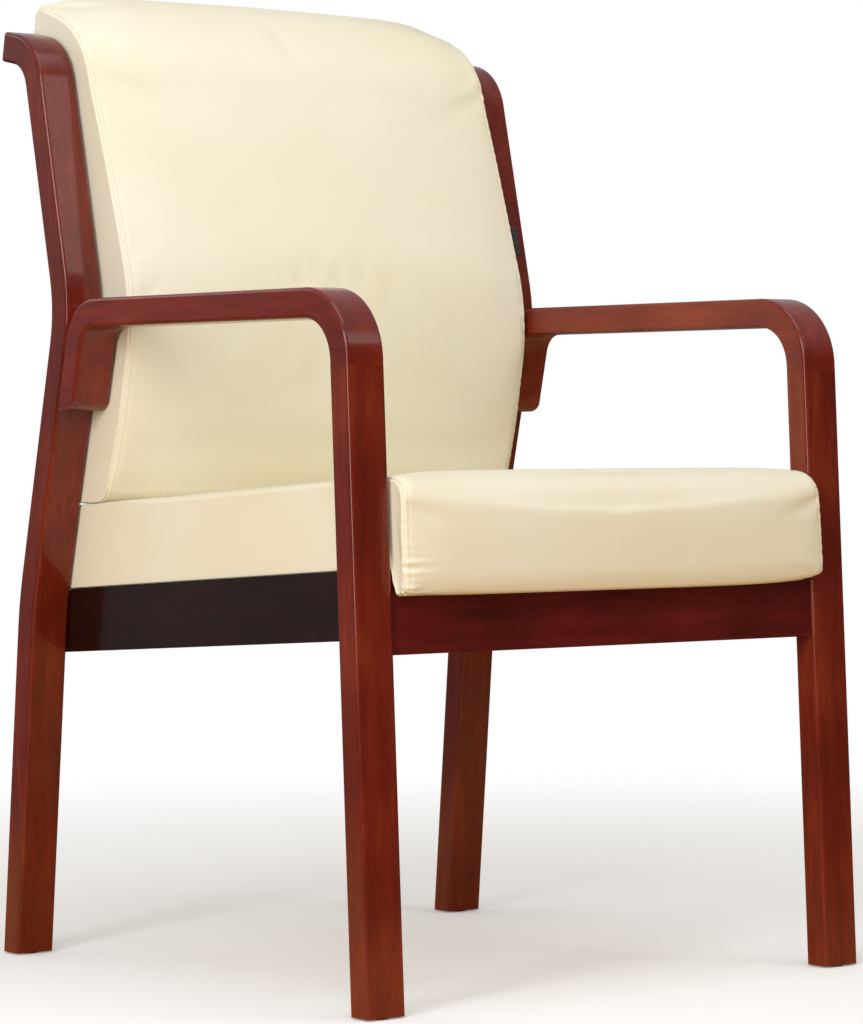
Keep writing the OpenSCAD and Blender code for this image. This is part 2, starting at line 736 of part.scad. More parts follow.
// Point at x across, s along the path from the pad's lower end, and d forward of the path
function on_back(x, s, d) =
    let (q = walk(back_path, back_radii, s), p = q[0] + d * left_of(q[1])) [x, p.x, p.y];
function back_point(q) =
    let (s = q.y + back_half.y, depth = back_side_t * lookup(s / back_len, back_depth_shares))
    on_back(q.x, s, hem_back + q[2] * (depth - hem_back) + q[3]);
function back_points(list) = [for (q = list) back_point(q)];
function back_rings(skin, rise) = concat(side_rings(back_rows, back_half, skin),
    [ring(back_rows, inside(back_half, skin + least_r), corner_r(skin + least_r), side_pull, 0,
          rise + low_edge)]);
function back_under(inset) = [inside(back_half, inset), corner_r(inset)];

// Rigid sheet between two distances forward of the path, short of the pad's sides and ends
module back_sheet(back, front, inset, ends) {
    first = walk(back_path, back_radii, ends)[0];
    last = walk(back_path, back_radii, back_len - ends)[0];
    path = shifted_path([first, post_waist, post_corner, last], (back + front) / 2);
    radii = shifted_radii([first, post_waist, post_corner, last], back_radii, (back + front) / 2);
    bent_bar(path, radii, inner_w - 2 * inset, front - back, 0);
}

// Frame of the back at a distance along its path: x up the path, y forward, z across the chair
module at_back(s) {
    q = walk(back_path, back_radii, s);
    in_side_plane() translate([q[0].x, q[0].y, 0]) rotate([0, 0, q[1]]) children();
}

// Battens: they close the back between the pad and the rear panel, at its lower and upper ends
batten_w = 20;
// Setback of the battens and the rear panel from the ends of the pad
rear_end = 4;
module back_battens() {
    color(leather_colour)
        for (s = [rear_end, back_len - rear_end - batten_w])
            at_back(s) translate([0, panel_front, least_r - half_inner])
                cube([batten_w, cleat_front - panel_front, inner_w - 2 * least_r]);
}

// Cleats: blocks between the core and the posts
cleat_shares = [0.15, 0.63];
cleat_screw_share = 0.32;
core_screw_share = 0.12;
cleat_x = half_inner - cleat_w;
core_screw_x = cleat_x + 0.2 * cleat_w;
module at_cleats() {
    for (share = cleat_shares) at_back(share * back_len) children();
}

module cleat_screw_pins() {
    at_cleats()
        for (side = [-1, 1])
            translate([side * cleat_screw_share * cleat_len, (panel_front + cleat_front) / 2, cleat_x])
                screw(cleat_screw_len);
}

module core_screw_pins() {
    at_cleats()
        for (side = [-1, 1])
            translate([side * core_screw_share * cleat_len, panel_front, core_screw_x])
                rotate([-90, 0, 0]) screw(core_screw_len);
}

module back_core() {
    color(inner_wood_colour) difference() {
        back_sheet(core_back, core_front, board_inset, board_inset);
        both_sides() core_screw_pins();
    }
}

module back_cleats() {
    color(inner_wood_colour) both_sides() difference() {
        at_cleats() translate([-cleat_len / 2, panel_front, cleat_x])
            cube([cleat_len, cleat_front - panel_front, cleat_w]);
        cleat_screw_pins();
        core_screw_pins();
    }
}

module cleat_screws() {
    color(steel_colour) both_sides() cleat_screw_pins();
}

module core_screws() {
    color(steel_colour) both_sides() core_screw_pins();
}

module back_foam() {
    skin = leather_t + soft_gap;
    rise = core_front + pad_gap - hem_back;
    under = back_under(skin + low_edge + least_r);
    color(foam_colour) pad_solid(len(back_rows),
        back_points(top_net(back_rows, back_half, skin, back_roll_h, back_crown)),
        [for (r = back_rings(skin, rise)) back_points(r)],
        back_points(net(back_rows, under[0], under[1], side_pull, 0, rise)));
}

module back_cover() {
    low = low_edge + least_r;
    outer_edge = back_under(low);
    inner_edge = back_under(low + leather_t);
    hem = back_under(back_hem_w);
    rise = leather_t;
    inside_rings = reversed(back_rings(leather_t, rise));
    turned = [ring(back_rows, outer_edge[0], outer_edge[1], side_pull, 0, 0),
              ring(back_rows, hem[0], hem[1], side_pull, 0, 0),
              ring(back_rows, hem[0], hem[1], side_pull, 0, rise),
              ring(back_rows, inner_edge[0], inner_edge[1], side_pull, 0, rise)];
    color(leather_colour) pad_solid(len(back_rows),
        back_points(top_net(back_rows, back_half, 0, back_roll_h, back_crown)),
        [for (r = concat(back_rings(0, 0), turned, inside_rings)) back_points(r)],
        back_points(top_net(back_rows, back_half, leather_t, back_roll_h, back_crown)));
}

module back_rear_panel() {
    color(leather_colour) back_sheet(panel_back, panel_front, least_r, rear_end);
}

// Blank textile tag on the right side panel, beside its front seam
tag_share = 0.5;
tag_depth_share = 0.8;
tag_gap = 0.1;
module side_tag() {
    far = back_half.x - side_pull * (1 - pow(2 * tag_share - 1, 2)) + tag_gap;
    color(tag_colour) at_back(tag_share * back_len)
        translate([-tag_len / 2, tag_depth_share * back_side_t, far]) cube([tag_len, tag_t, tag_w]);
}

module foot_glides() {
    color(nylon_colour) both_sides() translate([frame_mid_x, 0, 0]) {
        glide_at(leg_foot, 90 - leg_splay, glide_d, glide_h);
        glide_at(post_foot, 90 + leg_rake, glide_d, glide_h);
    }
}

front_leg_right();
front_leg_left();
arm_right();
arm_left();
rear_post_right();
rear_post_left();
front_rail();
rear_rail();
side_rail_right();
side_rail_left();
corner_blocks();
rail_dowels();
side_rail_dowels();
arm_dowels();
lug_dowels();
corner_block_screws();
seat_screws();
seat_board();
seat_foam();
seat_cover();
back_core();
back_cleats();
back_battens();
cleat_screws();
core_screws();
back_foam();
back_cover();
back_rear_panel();
side_tag();
foot_glides();
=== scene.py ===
# %% [markdown]
# # A conference armchair
# The chair has a wooden frame under a glossy red-brown lacquer, and two foam pads under cream
# leather. The CAD part brings every rigid piece at its real size and place. This script sews the two
# pads, gives each piece the finish of its real material, and puts the chair in a plain studio.

# %% Load the part
import math

import bmesh
import bpy
import numpy as np
from mathutils import Matrix, Vector


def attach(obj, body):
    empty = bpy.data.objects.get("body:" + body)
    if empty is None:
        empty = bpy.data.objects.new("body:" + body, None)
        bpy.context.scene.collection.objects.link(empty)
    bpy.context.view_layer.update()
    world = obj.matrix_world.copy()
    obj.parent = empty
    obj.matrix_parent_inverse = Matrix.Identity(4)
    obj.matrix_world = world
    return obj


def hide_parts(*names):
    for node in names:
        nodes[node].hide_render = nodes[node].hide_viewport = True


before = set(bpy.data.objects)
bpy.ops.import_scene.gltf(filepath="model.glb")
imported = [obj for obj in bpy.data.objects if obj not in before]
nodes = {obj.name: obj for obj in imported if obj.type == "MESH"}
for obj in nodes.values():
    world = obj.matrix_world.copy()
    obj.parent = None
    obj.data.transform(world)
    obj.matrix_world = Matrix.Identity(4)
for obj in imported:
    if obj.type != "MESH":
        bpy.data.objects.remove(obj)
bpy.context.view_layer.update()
scene = bpy.context.scene
MM = 0.001

# %% [markdown]
# ## Node trees in words
# Every finish below is a small tree of shader nodes. It could be drawn by hand in the shader editor,
# but in words it can be read and changed. One function adds a node: it takes what goes into each
# input, a number or another node's output, and then the node's own settings.


# %% One function for a node, one for a colour
def linear(code):
    """sRGB hex code to linear red, green, blue and alpha."""
    parts = [int(code[i : i + 2], 16) / 255 for i in (1, 3, 5)]
    return [p / 12.92 if p <= 0.04045 else ((p + 0.055) / 1.055) ** 2.4 for p in parts] + [1.0]


def add_node(tree, kind, inputs=None, settings=None):
    """Adds a node, sets it, and sets or links its inputs by name or number."""
    node = tree.nodes.new("ShaderNode" + kind)
    for name, value in (settings or {}).items():
        setattr(node, name, value)
    for name, value in (inputs or {}).items():
        socket = node.inputs[name]
        if isinstance(value, bpy.types.NodeSocket):
            tree.links.new(value, socket)
        else:
            socket.default_value = value
    return node


def new_finish(name):
    """An empty material, its node tree, and the place of each point in its object's own space."""
    finish = bpy.data.materials.new(name)
    finish.use_nodes = True
    tree = finish.node_tree
    tree.nodes.clear()
    return finish, tree, add_node(tree, "TexCoord").outputs["Object"]


def set_ramp(node, stops):
    """Gives a colour ramp its places and colours."""
    ramp = node.color_ramp
    while len(ramp.elements) < len(stops):
        ramp.elements.new(0.5)
    for element, (place, code) in zip(ramp.elements, stops):
        element.position = place
        element.color = linear(code)


# %% [markdown]
# ## Lacquered wood
# The frame is a close-grained hardwood such as rubberwood, stained red-brown and sprayed with a
# glossy clear lacquer. The stain soaks in unevenly, so the colour drifts over a hand's width and
# darkens in fine streaks along the grain. The lacquer is smooth: a coat over the wood gives the
# sharp thin highlights. Real pores are about 0.2 mm wide and 3 mm long. They are drawn 0.8 mm wide,
# or they wouldn't show. A picture of wood would have to be unwrapped onto every bar. Noise that is
# drawn out along the grain runs right through each piece, as real grain does.

# %% Wood under lacquer, with its grain along one axis
QUARTER_TURN = math.radians(90)
GRAIN_TURNS = {"up": (0, 0, 0), "back": (QUARTER_TURN, 0, 0), "across": (0, QUARTER_TURN, 0)}
STREAK_MM, STREAK_STRETCH = 13, 0.1
DRIFT_MM, DRIFT_SHARE = 110, 0.9
STAIN_DARKEST, STAIN_PALEST, STAIN_MIDDLE = 0.62, 1.28, 0.55
PORE_MM, PORE_STRETCH, PORE_SHADE, PORE_DEPTH_MM = 0.8, 0.06, 0.82, 0.2


def lacquered_wood(name, grain, dark, middle, light):
    """Stained wood under a clear coat, its streaks and pores drawn out along the grain."""
    finish, tree, place = new_finish(name)
    turned = add_node(tree, "Mapping", {
        "Vector": place, "Rotation": GRAIN_TURNS[grain],
    }).outputs["Vector"]
    drawn_out, fine = (
        add_node(tree, "Mapping", {"Vector": turned, "Scale": (1, 1, stretch)}).outputs["Vector"]
        for stretch in (STREAK_STRETCH, PORE_STRETCH)
    )
    streaks = add_node(tree, "TexNoise", {
        "Vector": drawn_out, "Scale": 1 / (STREAK_MM * MM),
        "Detail": 6, "Roughness": 0.6, "Distortion": 0.6,
    }).outputs["Fac"]
    drift = add_node(tree, "TexNoise", {
        "Vector": turned, "Scale": 1 / (DRIFT_MM * MM), "Detail": 2,
    }).outputs["Fac"]
    both = add_node(
        tree, "Math", {0: drift, 1: DRIFT_SHARE, 2: streaks}, {"operation": "MULTIPLY_ADD"}
    ).outputs[0]
    even = add_node(tree, "MapRange", {
        "Value": both, "From Min": STAIN_DARKEST, "From Max": STAIN_PALEST,
    }).outputs["Result"]
    stain = add_node(tree, "ValToRGB", {"Fac": even})
    set_ramp(stain, [(0.0, dark), (STAIN_MIDDLE, middle), (1.0, light)])
    pores = add_node(tree, "TexNoise", {
        "Vector": fine, "Scale": 1 / (PORE_MM * MM), "Detail": 2,
    }).outputs["Fac"]
    pore_shade = add_node(tree, "MapRange", {
        "Value": pores, "From Min": 0.3, "From Max": 0.5, "To Min": PORE_SHADE,
    }).outputs["Result"]
    shaded = add_node(
        tree, "Mix", {"Factor": 1.0, "A": stain.outputs["Color"], "B": pore_shade},
        {"data_type": "RGBA", "blend_type": "MULTIPLY"},
    )
    relief = add_node(tree, "Bump", {
        "Height": pores, "Strength": 0.05, "Distance": PORE_DEPTH_MM * MM,
    }).outputs["Normal"]
    shader = add_node(tree, "BsdfPrincipled", {
        "Base Color": shaded.outputs["Result"], "Roughness": 0.42, "IOR": 1.5, "Normal": relief,
        "Specular IOR Level": 0.08, "Coat Weight": 0.7, "Coat Roughness": 0.12, "Coat IOR": 1.5,
    })
    add_node(tree, "OutputMaterial", {"Surface": shader.outputs["BSDF"]})
    return finish


wood_up = lacquered_wood("lacquered_wood_grain_up", "up", "#56150A", "#6E2011", "#823017")
wood_back = lacquered_wood("lacquered_wood_grain_back", "back", "#5E180D", "#762313", "#883219")
wood_across = lacquered_wood(
    "lacquered_wood_grain_across", "across", "#48110D", "#5E1815", "#6C1F19"
)
# The side rails take the red-brown stain darkened almost to black. The darkening is painted shade:
# the rails lie in the seat's shadow.
wood_side_rail_painted_shade = lacquered_wood("lacquered_wood_side_rail_painted_shade", "back", "#140504", "#1E0907", "#260D0A")
print("wood streaks:", STREAK_MM, "mm wide and", round(STREAK_MM / STREAK_STRETCH), "mm long")

# %% [markdown]
# ## Cream leather
# The cover is a coated cream leather. Its surface is rolled with a fine pebble of about 1 mm, which
# breaks up the shine into a soft gloss, and its colour is nearly even: a little warmer where the
# hide is denser. A picture of leather would stretch where the pad bends. A cell pattern in the
# piece's own space keeps its real size everywhere.

# %% Leather, with its pebble as a fine relief
PEBBLE_MM, PEBBLE_DEPTH_MM = 1.1, 0.12
HIDE_MM = 140
GLOSSIER, DULLER = 0.04, 0.08


def coated_leather(name, cool, warm, roughness):
    """Leather that is glossier on the pebbles and duller between them."""
    finish, tree, place = new_finish(name)
    hide = add_node(tree, "TexNoise", {
        "Vector": place, "Scale": 1 / (HIDE_MM * MM), "Detail": 3,
    }).outputs["Fac"]
    tone = add_node(tree, "ValToRGB", {"Fac": hide})
    set_ramp(tone, [(0.35, cool), (0.65, warm)])
    pebble = add_node(
        tree, "TexVoronoi", {"Vector": place, "Scale": 1 / (PEBBLE_MM * MM), "Smoothness": 0.6},
        {"feature": "SMOOTH_F1"},
    ).outputs["Distance"]
    gloss = add_node(tree, "MapRange", {
        "Value": pebble, "From Min": 0.1, "From Max": 0.7,
        "To Min": roughness - GLOSSIER, "To Max": roughness + DULLER,
    }).outputs["Result"]
    relief = add_node(
        tree, "Bump", {"Height": pebble, "Strength": 0.18, "Distance": PEBBLE_DEPTH_MM * MM},
        {"invert": True},
    ).outputs["Normal"]
    shader = add_node(tree, "BsdfPrincipled", {
        "Base Color": tone.outputs["Color"], "Roughness": gloss, "IOR": 1.48, "Normal": relief,
    })
    add_node(tree, "OutputMaterial", {"Surface": shader.outputs["BSDF"]})
    return finish


leather = coated_leather("coated_cream_leather", "#F2EDDB", "#F0E9D1", 0.4)
print("leather pebble:", PEBBLE_MM, "mm")

# %% [markdown]
# ## The finishes that hardly show
# Under the chair there are a plywood board, blocks and dowels of the same pale wood, zinc-plated
# screws and nylon glides, and on the pads a tape and some thread. Each has what tells its material:
# growth rings, a plated sheen, a moulded matt skin, a weave or a twist. All can be made as one
# pattern that sets both colour and relief, so one function makes them.

# %% Plywood, zinc plate, nylon, woven tape and thread
RING_MM, TOOL_MM, MOULD_MM, WEAVE_MM, TWIST_MM = 5, 0.5, 0.6, 0.5, 0.4
EVEN, ALONG_Y = (1, 1, 1), (1, 0.05, 1)


def patterned(name, pattern, settings, size_mm, stretch, colours, surface, depth_mm):
    """A finish with one pattern that drives both its colour and its relief."""
    finish, tree, place = new_finish(name)
    drawn = add_node(tree, "Mapping", {"Vector": place, "Scale": stretch}).outputs["Vector"]
    texture = add_node(tree, pattern, {"Vector": drawn, "Scale": 1 / (size_mm * MM)}, settings)
    height = texture.outputs["Fac"] if "Fac" in texture.outputs else texture.outputs["Distance"]
    tone = add_node(tree, "ValToRGB", {"Fac": height})
    set_ramp(tone, list(zip((0.25, 0.75), colours)))
    relief = add_node(tree, "Bump", {
        "Height": height, "Strength": 0.3, "Distance": depth_mm * MM,
    }).outputs["Normal"]
    shader = add_node(tree, "BsdfPrincipled", {
        "Base Color": tone.outputs["Color"], "Normal": relief, **surface,
    })
    add_node(tree, "OutputMaterial", {"Surface": shader.outputs["BSDF"]})
    return finish


plywood = patterned(
    "sanded_plywood", "TexNoise", {}, RING_MM, ALONG_Y, ("#B48C5C", "#D2B084"),
    {"Roughness": 0.62, "IOR": 1.5}, 0.1,
)
zinc = patterned(
    "zinc_plated_steel", "TexNoise", {}, TOOL_MM, EVEN, ("#A9ADB0", "#C4C7C9"),
    {"Metallic": 1.0, "Roughness": 0.34}, 0.02,
)
nylon = patterned(
    "moulded_black_nylon", "TexVoronoi", {"feature": "F1"}, MOULD_MM, EVEN,
    ("#1D1A18", "#2B2724"), {"Roughness": 0.5, "IOR": 1.53}, 0.03,
)
tape = patterned(
    "woven_dark_tape", "TexVoronoi", {"feature": "F1", "distance": "MANHATTAN"}, WEAVE_MM, EVEN,
    ("#120F0E", "#2C2725"), {"Roughness": 0.8, "IOR": 1.5, "Sheen Weight": 0.1}, 0.1,
)
thread = patterned(
    "twisted_cream_thread", "TexNoise", {}, TWIST_MM, EVEN, ("#DCCB9E", "#F0E6CC"),
    {"Roughness": 0.55, "IOR": 1.5}, 0.05,
)

# %% Put the finishes on the CAD pieces
FINISHED = (
    (wood_up, "front_leg_right", "front_leg_left", "rear_post_right", "rear_post_left"),
    (wood_back, "arm_right", "arm_left"),
    (wood_across, "front_rail", "rear_rail"),
    # painted shade: the side rails' near-black colour stands for the seat's shadow over them
    (wood_side_rail_painted_shade, "side_rail_right", "side_rail_left"),
    (plywood, "corner_blocks", "seat_board", "back_core", "back_cleats"),
    (plywood, "rail_dowels", "side_rail_dowels", "arm_dowels", "lug_dowels"),
    (zinc, "corner_block_screws", "seat_screws", "cleat_screws", "core_screws"),
    (nylon, "foot_glides"),
)
for finish, *names in FINISHED:
    for name in names:
        for material_slot in nodes[name].material_slots:
            material_slot.material = finish
print("finished CAD nodes:", sum(len(names) for _, *names in FINISHED))

# %% [markdown]
# ## The line that the back pad follows
# Seen from the side, the rear post is a knee, a waist and a scroll: straight runs joined by rounded
# bends. The back pad is screwed between the posts and follows the same line. A curve drawn by hand
# would drift away from the post, so the script traces the line from the post's own heights and
# slopes.

# %% The post's line in the side view, as points [y, z] in millimetres
# Half the chair's depth, the post's thickness, and how far the glides stand out below the post
HALF_DEPTH, POST_T, GLIDE_PROUD = 318, 30, 1.5
# Slopes in degrees: three away from upright, and the scroll's away from level
LEG_RAKE, WAIST_LEAN, BACK_RAKE, SCROLL_RISE = 6, 14.2, 12.3, 12
# Heights and radii of the bends, and the scroll's length
KNEE_H, WAIST_H, SCROLL_H, SCROLL_LEN = 352, 640, 898, 50
WAIST_R, SCROLL_R = 150, 45
# Where the pad begins, and how far it goes past the scroll
BACK_BOTTOM_H, BACK_TOP_OVER = 471, 21
ARC_POINTS = 25


def along(angle):
    return np.array([math.cos(math.radians(angle)), math.sin(math.radians(angle))])


def at_height(start, angle, z):
    return np.array([start[0] + (z - start[1]) / math.tan(math.radians(angle)), z])


rake = math.radians(LEG_RAKE)
foot_y = HALF_DEPTH + GLIDE_PROUD * math.tan(rake) - POST_T / 2 / math.cos(rake)
knee = at_height((foot_y, 0), 90 + LEG_RAKE, KNEE_H)
waist = at_height(knee, 90 + WAIST_LEAN, WAIST_H)
corner = at_height(waist, 90 - BACK_RAKE, SCROLL_H)
top_end = corner + (SCROLL_LEN + BACK_TOP_OVER) * along(SCROLL_RISE)
back_start = at_height(knee, 90 + WAIST_LEAN, BACK_BOTTOM_H)


def lengths_along(points):
    """How far each point lies along a line of points."""
    return np.concatenate([[0], np.cumsum(np.linalg.norm(np.diff(points, axis=0), axis=1))])


def trace(points, angles, radii):
    """Dense points and headings of straight runs that are joined by arcs."""
    places, headings = [points[0]], [angles[0]]
    for i, radius in enumerate(radii, 1):
        turn = angles[i] - angles[i - 1]
        side = math.copysign(1, turn)
        cut = radius * math.tan(math.radians(abs(turn) / 2))
        start = points[i] - cut * along(angles[i - 1])
        centre = start + side * radius * along(angles[i - 1] + 90)
        for share in np.linspace(0, 1, ARC_POINTS):
            heading = angles[i - 1] + share * turn
            places.append(centre - side * radius * along(heading + 90))
            headings.append(heading)
    places.append(points[-1])
    headings.append(angles[-1])
    places = np.array(places)
    return lengths_along(places), places, np.array(headings)


back_runs, back_places, back_headings = trace(
    [back_start, waist, corner, top_end],
    [90 + WAIST_LEAN, 90 - BACK_RAKE, SCROLL_RISE],
    [WAIST_R, SCROLL_R],
)
BACK_LEN = back_runs[-1]
print("length of the back's line:", round(BACK_LEN, 1), "mm")


# %% From places on a pad to places on the chair
def on_back(x, s, d):
    """Points at x across, s along the back's line and d forward of it, in metres."""
    over = np.minimum(s, 0)
    s = np.maximum(s, 0)
    y = np.interp(s, back_runs, back_places[:, 0])
    z = np.interp(s, back_runs, back_places[:, 1])
    heading = np.radians(np.interp(s, back_runs, back_headings))
    y, z = y + over * np.cos(heading), z + over * np.sin(heading)
    return np.stack([x, y - d * np.sin(heading), z + d * np.cos(heading)], axis=-1) * MM


# The seat is pitched back by three degrees on the rails
RAIL_TOP_H, SEAT_PITCH = 378, math.radians(3)
SEAT_FRONT, SEAT_LEN = -318.6, 592.0


def on_seat(x, s, d):
    """Points at x across, s behind the seat's front and d above the rails, in metres."""
    y = SEAT_FRONT + s
    back = y * math.cos(SEAT_PITCH) + d * math.sin(SEAT_PITCH)
    up = RAIL_TOP_H - y * math.sin(SEAT_PITCH) + d * math.cos(SEAT_PITCH)
    return np.stack([x, back, up], axis=-1) * MM


print("the back's line ends at", on_back(0, BACK_LEN, 0).round(3))

# %% [markdown]
# ## How a pad is sewn
# A seat or back pad of this kind is cut from foam and dressed in leather: one long panel wraps over
# the front and the ends, and a flat side panel closes it on either side. The seams run all the way
# round the side panels. A rounded box would be quicker, but it has no seam. So the pad is built as
# the upholsterer lays it out: its outline in the side view is a closed chain of points, repeated
# across the chair. Close to each side the chain shrinks over a soft roll to the seam, and the side
# panel fills what is left.

# %% The outline of a pad in its side view
BEND_POINTS, END_ROWS = 9, 9
TINY = 1e-9


def arc(centre, radius, first, last):
    angles = np.radians(np.linspace(first, last, BEND_POINTS))
    across, up = centre[0] + radius * np.cos(angles), centre[1] + radius * np.sin(angles)
    return np.stack([across, up], axis=1)


def chain(start_mid, end_mid, line, stations, start_r, end_r, face, rows=END_ROWS):
    """Half an outline, from the middle of one end to the middle of the other. line gives the height
    at each station, face is 1 for the upper half and -1 for the lower one, and rows is the number of
    points up each end."""
    first, last = stations[0], stations[-1]
    low, high = line(first) - face * start_r, line(last) - face * end_r
    rise = np.linspace(start_mid, low, rows)[:-1]
    fall = np.linspace(high, end_mid, rows)[1:]
    return np.concatenate([
        np.stack([np.full(rows - 1, first - start_r), rise], axis=1),
        arc((first, low), start_r, 180, 180 - face * 90)[:-1],
        np.stack([stations, line(stations)], axis=1),
        arc((last, high), end_r, face * 90, 0)[1:],
        np.stack([np.full(rows - 1, last + end_r), fall], axis=1),
    ])


def level(height):
    return lambda s: np.full(np.shape(s), float(height))


def outward(points):
    """Unit normals of a closed outline, pointing out of it."""
    step = np.roll(points, -1, axis=0) - np.roll(points, 1, axis=0)
    normal = np.stack([-step[:, 1], step[:, 0]], axis=1)
    return normal / np.maximum(np.linalg.norm(normal, axis=1), TINY)[:, None]


# %% [markdown]
# The columns across the pad lie a few millimetres apart on the flat of it, and about one millimetre
# apart beside the seam, so that the seam can sink in later without a jagged edge.

# %% Where the columns lie, and how a side is filled
ROLL_ANGLES = (12, 24, 36, 46, 53, 59, 65, 71, 77, 83, 90)
SEAM_ANGLE = 65
ROLL_FULLNESS = 0.85
SIDE_ROWS = 9


def smooth_step(x, start, length):
    """0 up to start, 1 beyond start + length, and a soft rise between."""
    x = np.clip((x - start) / length, 0, 1)
    return x * x * (3 - 2 * x)


def pad_columns(flat, column_mm, quarter):
    """Each column's place u, from -1 to 1 over the flat, its angle on the roll, and its distance to
    the seam. quarter is the length of leather over the whole roll."""
    count = int(round(2 * flat / column_mm))
    on_roll = quarter * SEAM_ANGLE / 90
    flats = [(u, 0.0, (1 - abs(u)) * flat + on_roll) for u in np.linspace(-1, 1, count + 1)]
    edge = [(1.0, angle, quarter * (SEAM_ANGLE - angle) / 90) for angle in ROLL_ANGLES]
    return [(-u, angle, gap) for u, angle, gap in reversed(edge)] + flats + edge


def side_panel(corners, up, down, run, edge_gap, first, flip):
    """Fills a side between the two halves of its column. Gives the new points, the distance of each
    to the seam, its run and the faces. first is the new points' first number."""
    points, gaps, runs, faces = [], [], [], []
    rows = [up]
    for t in range(1, SIDE_ROWS):
        share = t / SIDE_ROWS
        row = [up[0]]
        for i in range(1, len(up) - 1):
            a, b = corners[up[i]], corners[down[i]]
            row.append(first + len(points))
            points.append(a + (b - a) * share)
            gaps.append(edge_gap - np.linalg.norm(b - a) / MM * min(share, 1 - share))
            runs.append(run[i])
        rows.append(row + [up[-1]])
    rows.append(down)
    for low, high in zip(rows, rows[1:]):
        for i in range(len(up) - 1):
            ring = [low[i], low[i + 1], high[i + 1], high[i]]
            ring = [v for p, v in enumerate(ring) if v not in ring[:p]]
            if len(ring) > 2:
                faces.append(tuple(reversed(ring)) if flip else tuple(ring))
    return points, gaps, runs, faces


# %% A pad as one closed mesh
def put_in_scene(name, data):
    thing = bpy.data.objects.new(name, data)
    scene.collection.objects.link(thing)
    return thing


def smooth_piece(name, corners, faces):
    """A smooth mesh object whose normals all point out."""
    mesh = bpy.data.meshes.new(name)
    mesh.from_pydata([tuple(c) for c in corners], [], faces)
    mesh.validate()
    shell = bmesh.new()
    shell.from_mesh(mesh)
    bmesh.ops.recalc_face_normals(shell, faces=shell.faces)
    shell.to_mesh(mesh)
    shell.free()
    for face in mesh.polygons:
        face.use_smooth = True
    print(name, "has", len(mesh.polygons), "faces")
    return put_in_scene(name, mesh)


def pad_mesh(name, upper, lower, half_width, soft, roll_w, roll_d, crown, place, column_mm):
    """upper and lower are the halves of the outline. At each point of it, half_width(outline, side)
    is the half width, with side -1 on the left and 1 on the right, soft(outline, under) the share of
    the roll's depth that the sides sink by, and crown(u, outline) the panel's rise at u, from -1 to
    1. roll_w and roll_d are the roll's width and depth. Stores each vertex's distance to the seam
    and its run along the outline."""
    n = len(upper)
    outline = np.concatenate([upper, lower[-2:0:-1]])
    count = len(outline)
    is_under = np.arange(count) >= n
    normals, softness = outward(outline), soft(outline, is_under)
    runs = lengths_along(outline)
    total = runs[-1] + np.linalg.norm(outline[-1] - outline[0])
    run = np.where(is_under, runs - total, runs)
    flats = {side: half_width(outline, side) - roll_w for side in (-1, 1)}
    quarter = roll_w * 0.5 * math.pi * ROLL_FULLNESS
    columns = pad_columns(flats[1].max(), column_mm, quarter)
    corners = []
    for u, angle, _ in columns:
        turn = math.radians(angle)
        side = -1 if u < 0 else 1
        x = side * (abs(u) * flats[side] + roll_w * math.sin(turn))
        inset = roll_d * (1 - math.cos(turn)) * softness
        moved = outline + normals * (crown(u, outline) - inset)[:, None]
        corners.append(place(x, moved[:, 0], moved[:, 1]))
    corners = np.concatenate(corners)
    gaps = [np.full(count, gap) for _, _, gap in columns]
    along_run = [run] * len(columns)
    faces = []
    for k in range(len(columns) - 1):
        for j in range(count):
            a, b = k * count + j, k * count + (j + 1) % count
            faces.append((a, b, b + count, a + count))
    filled = []
    for k, flip in ((0, True), (len(columns) - 1, False)):
        up = [k * count + i for i in range(n)]
        down = [k * count + (count - i) % count for i in range(n)]
        down[-1] = up[-1]
        points, side_gaps, side_runs, side_faces = side_panel(
            corners, up, down, run, -quarter * (90 - SEAM_ANGLE) / 90,
            len(corners) + len(filled), flip,
        )
        filled += points
        gaps.append(side_gaps)
        along_run.append(side_runs)
        faces += side_faces
    piece = smooth_piece(name, np.concatenate([corners, np.array(filled)]), faces)
    for label, values in (("seam_gap", gaps), ("seam_run", along_run)):
        stored = piece.data.attributes.new(label, "FLOAT", "POINT")
        stored.data.foreach_set("value", np.concatenate(values).astype(np.float32))
    piece["ring"], piece["face"], piece["loops"] = count, n, len(columns)
    return piece


# %% [markdown]
# ## Filling a pad
# Leather over foam isn't a drawn surface: it stands where the foam's pressure and the pull of the
# seams meet. Sculpting could imitate that, but a cloth simulation finds it. So each pad is run as
# cloth for a moment, with pressure inside and its seams and underside held. It starts a little flat
# and swells to its crown. The move is held under a cap, and it fades where another piece lies close.

# %% Run the cloth and keep its shape
CLOTH = {
    "quality": 4, "mass": 0.6, "tension_stiffness": 30, "compression_stiffness": 30,
    "shear_stiffness": 15, "bending_stiffness": 2, "use_pressure": True,
    "uniform_pressure_force": 4,
}
CLOTH_STEPS = 20


def read_vectors(items, label):
    flat = np.empty(len(items) * 3, np.float32)
    items.foreach_get(label, flat)
    return flat.reshape(-1, 3).astype(float)


def points_of(mesh):
    return read_vectors(mesh.vertices, "co")


def write_points(mesh, points):
    mesh.vertices.foreach_set("co", points.astype(np.float32).ravel())
    mesh.update()


def read_value(mesh, label):
    values = np.empty(len(mesh.vertices), np.float32)
    mesh.attributes[label].data.foreach_get("value", values)
    return values.astype(float)


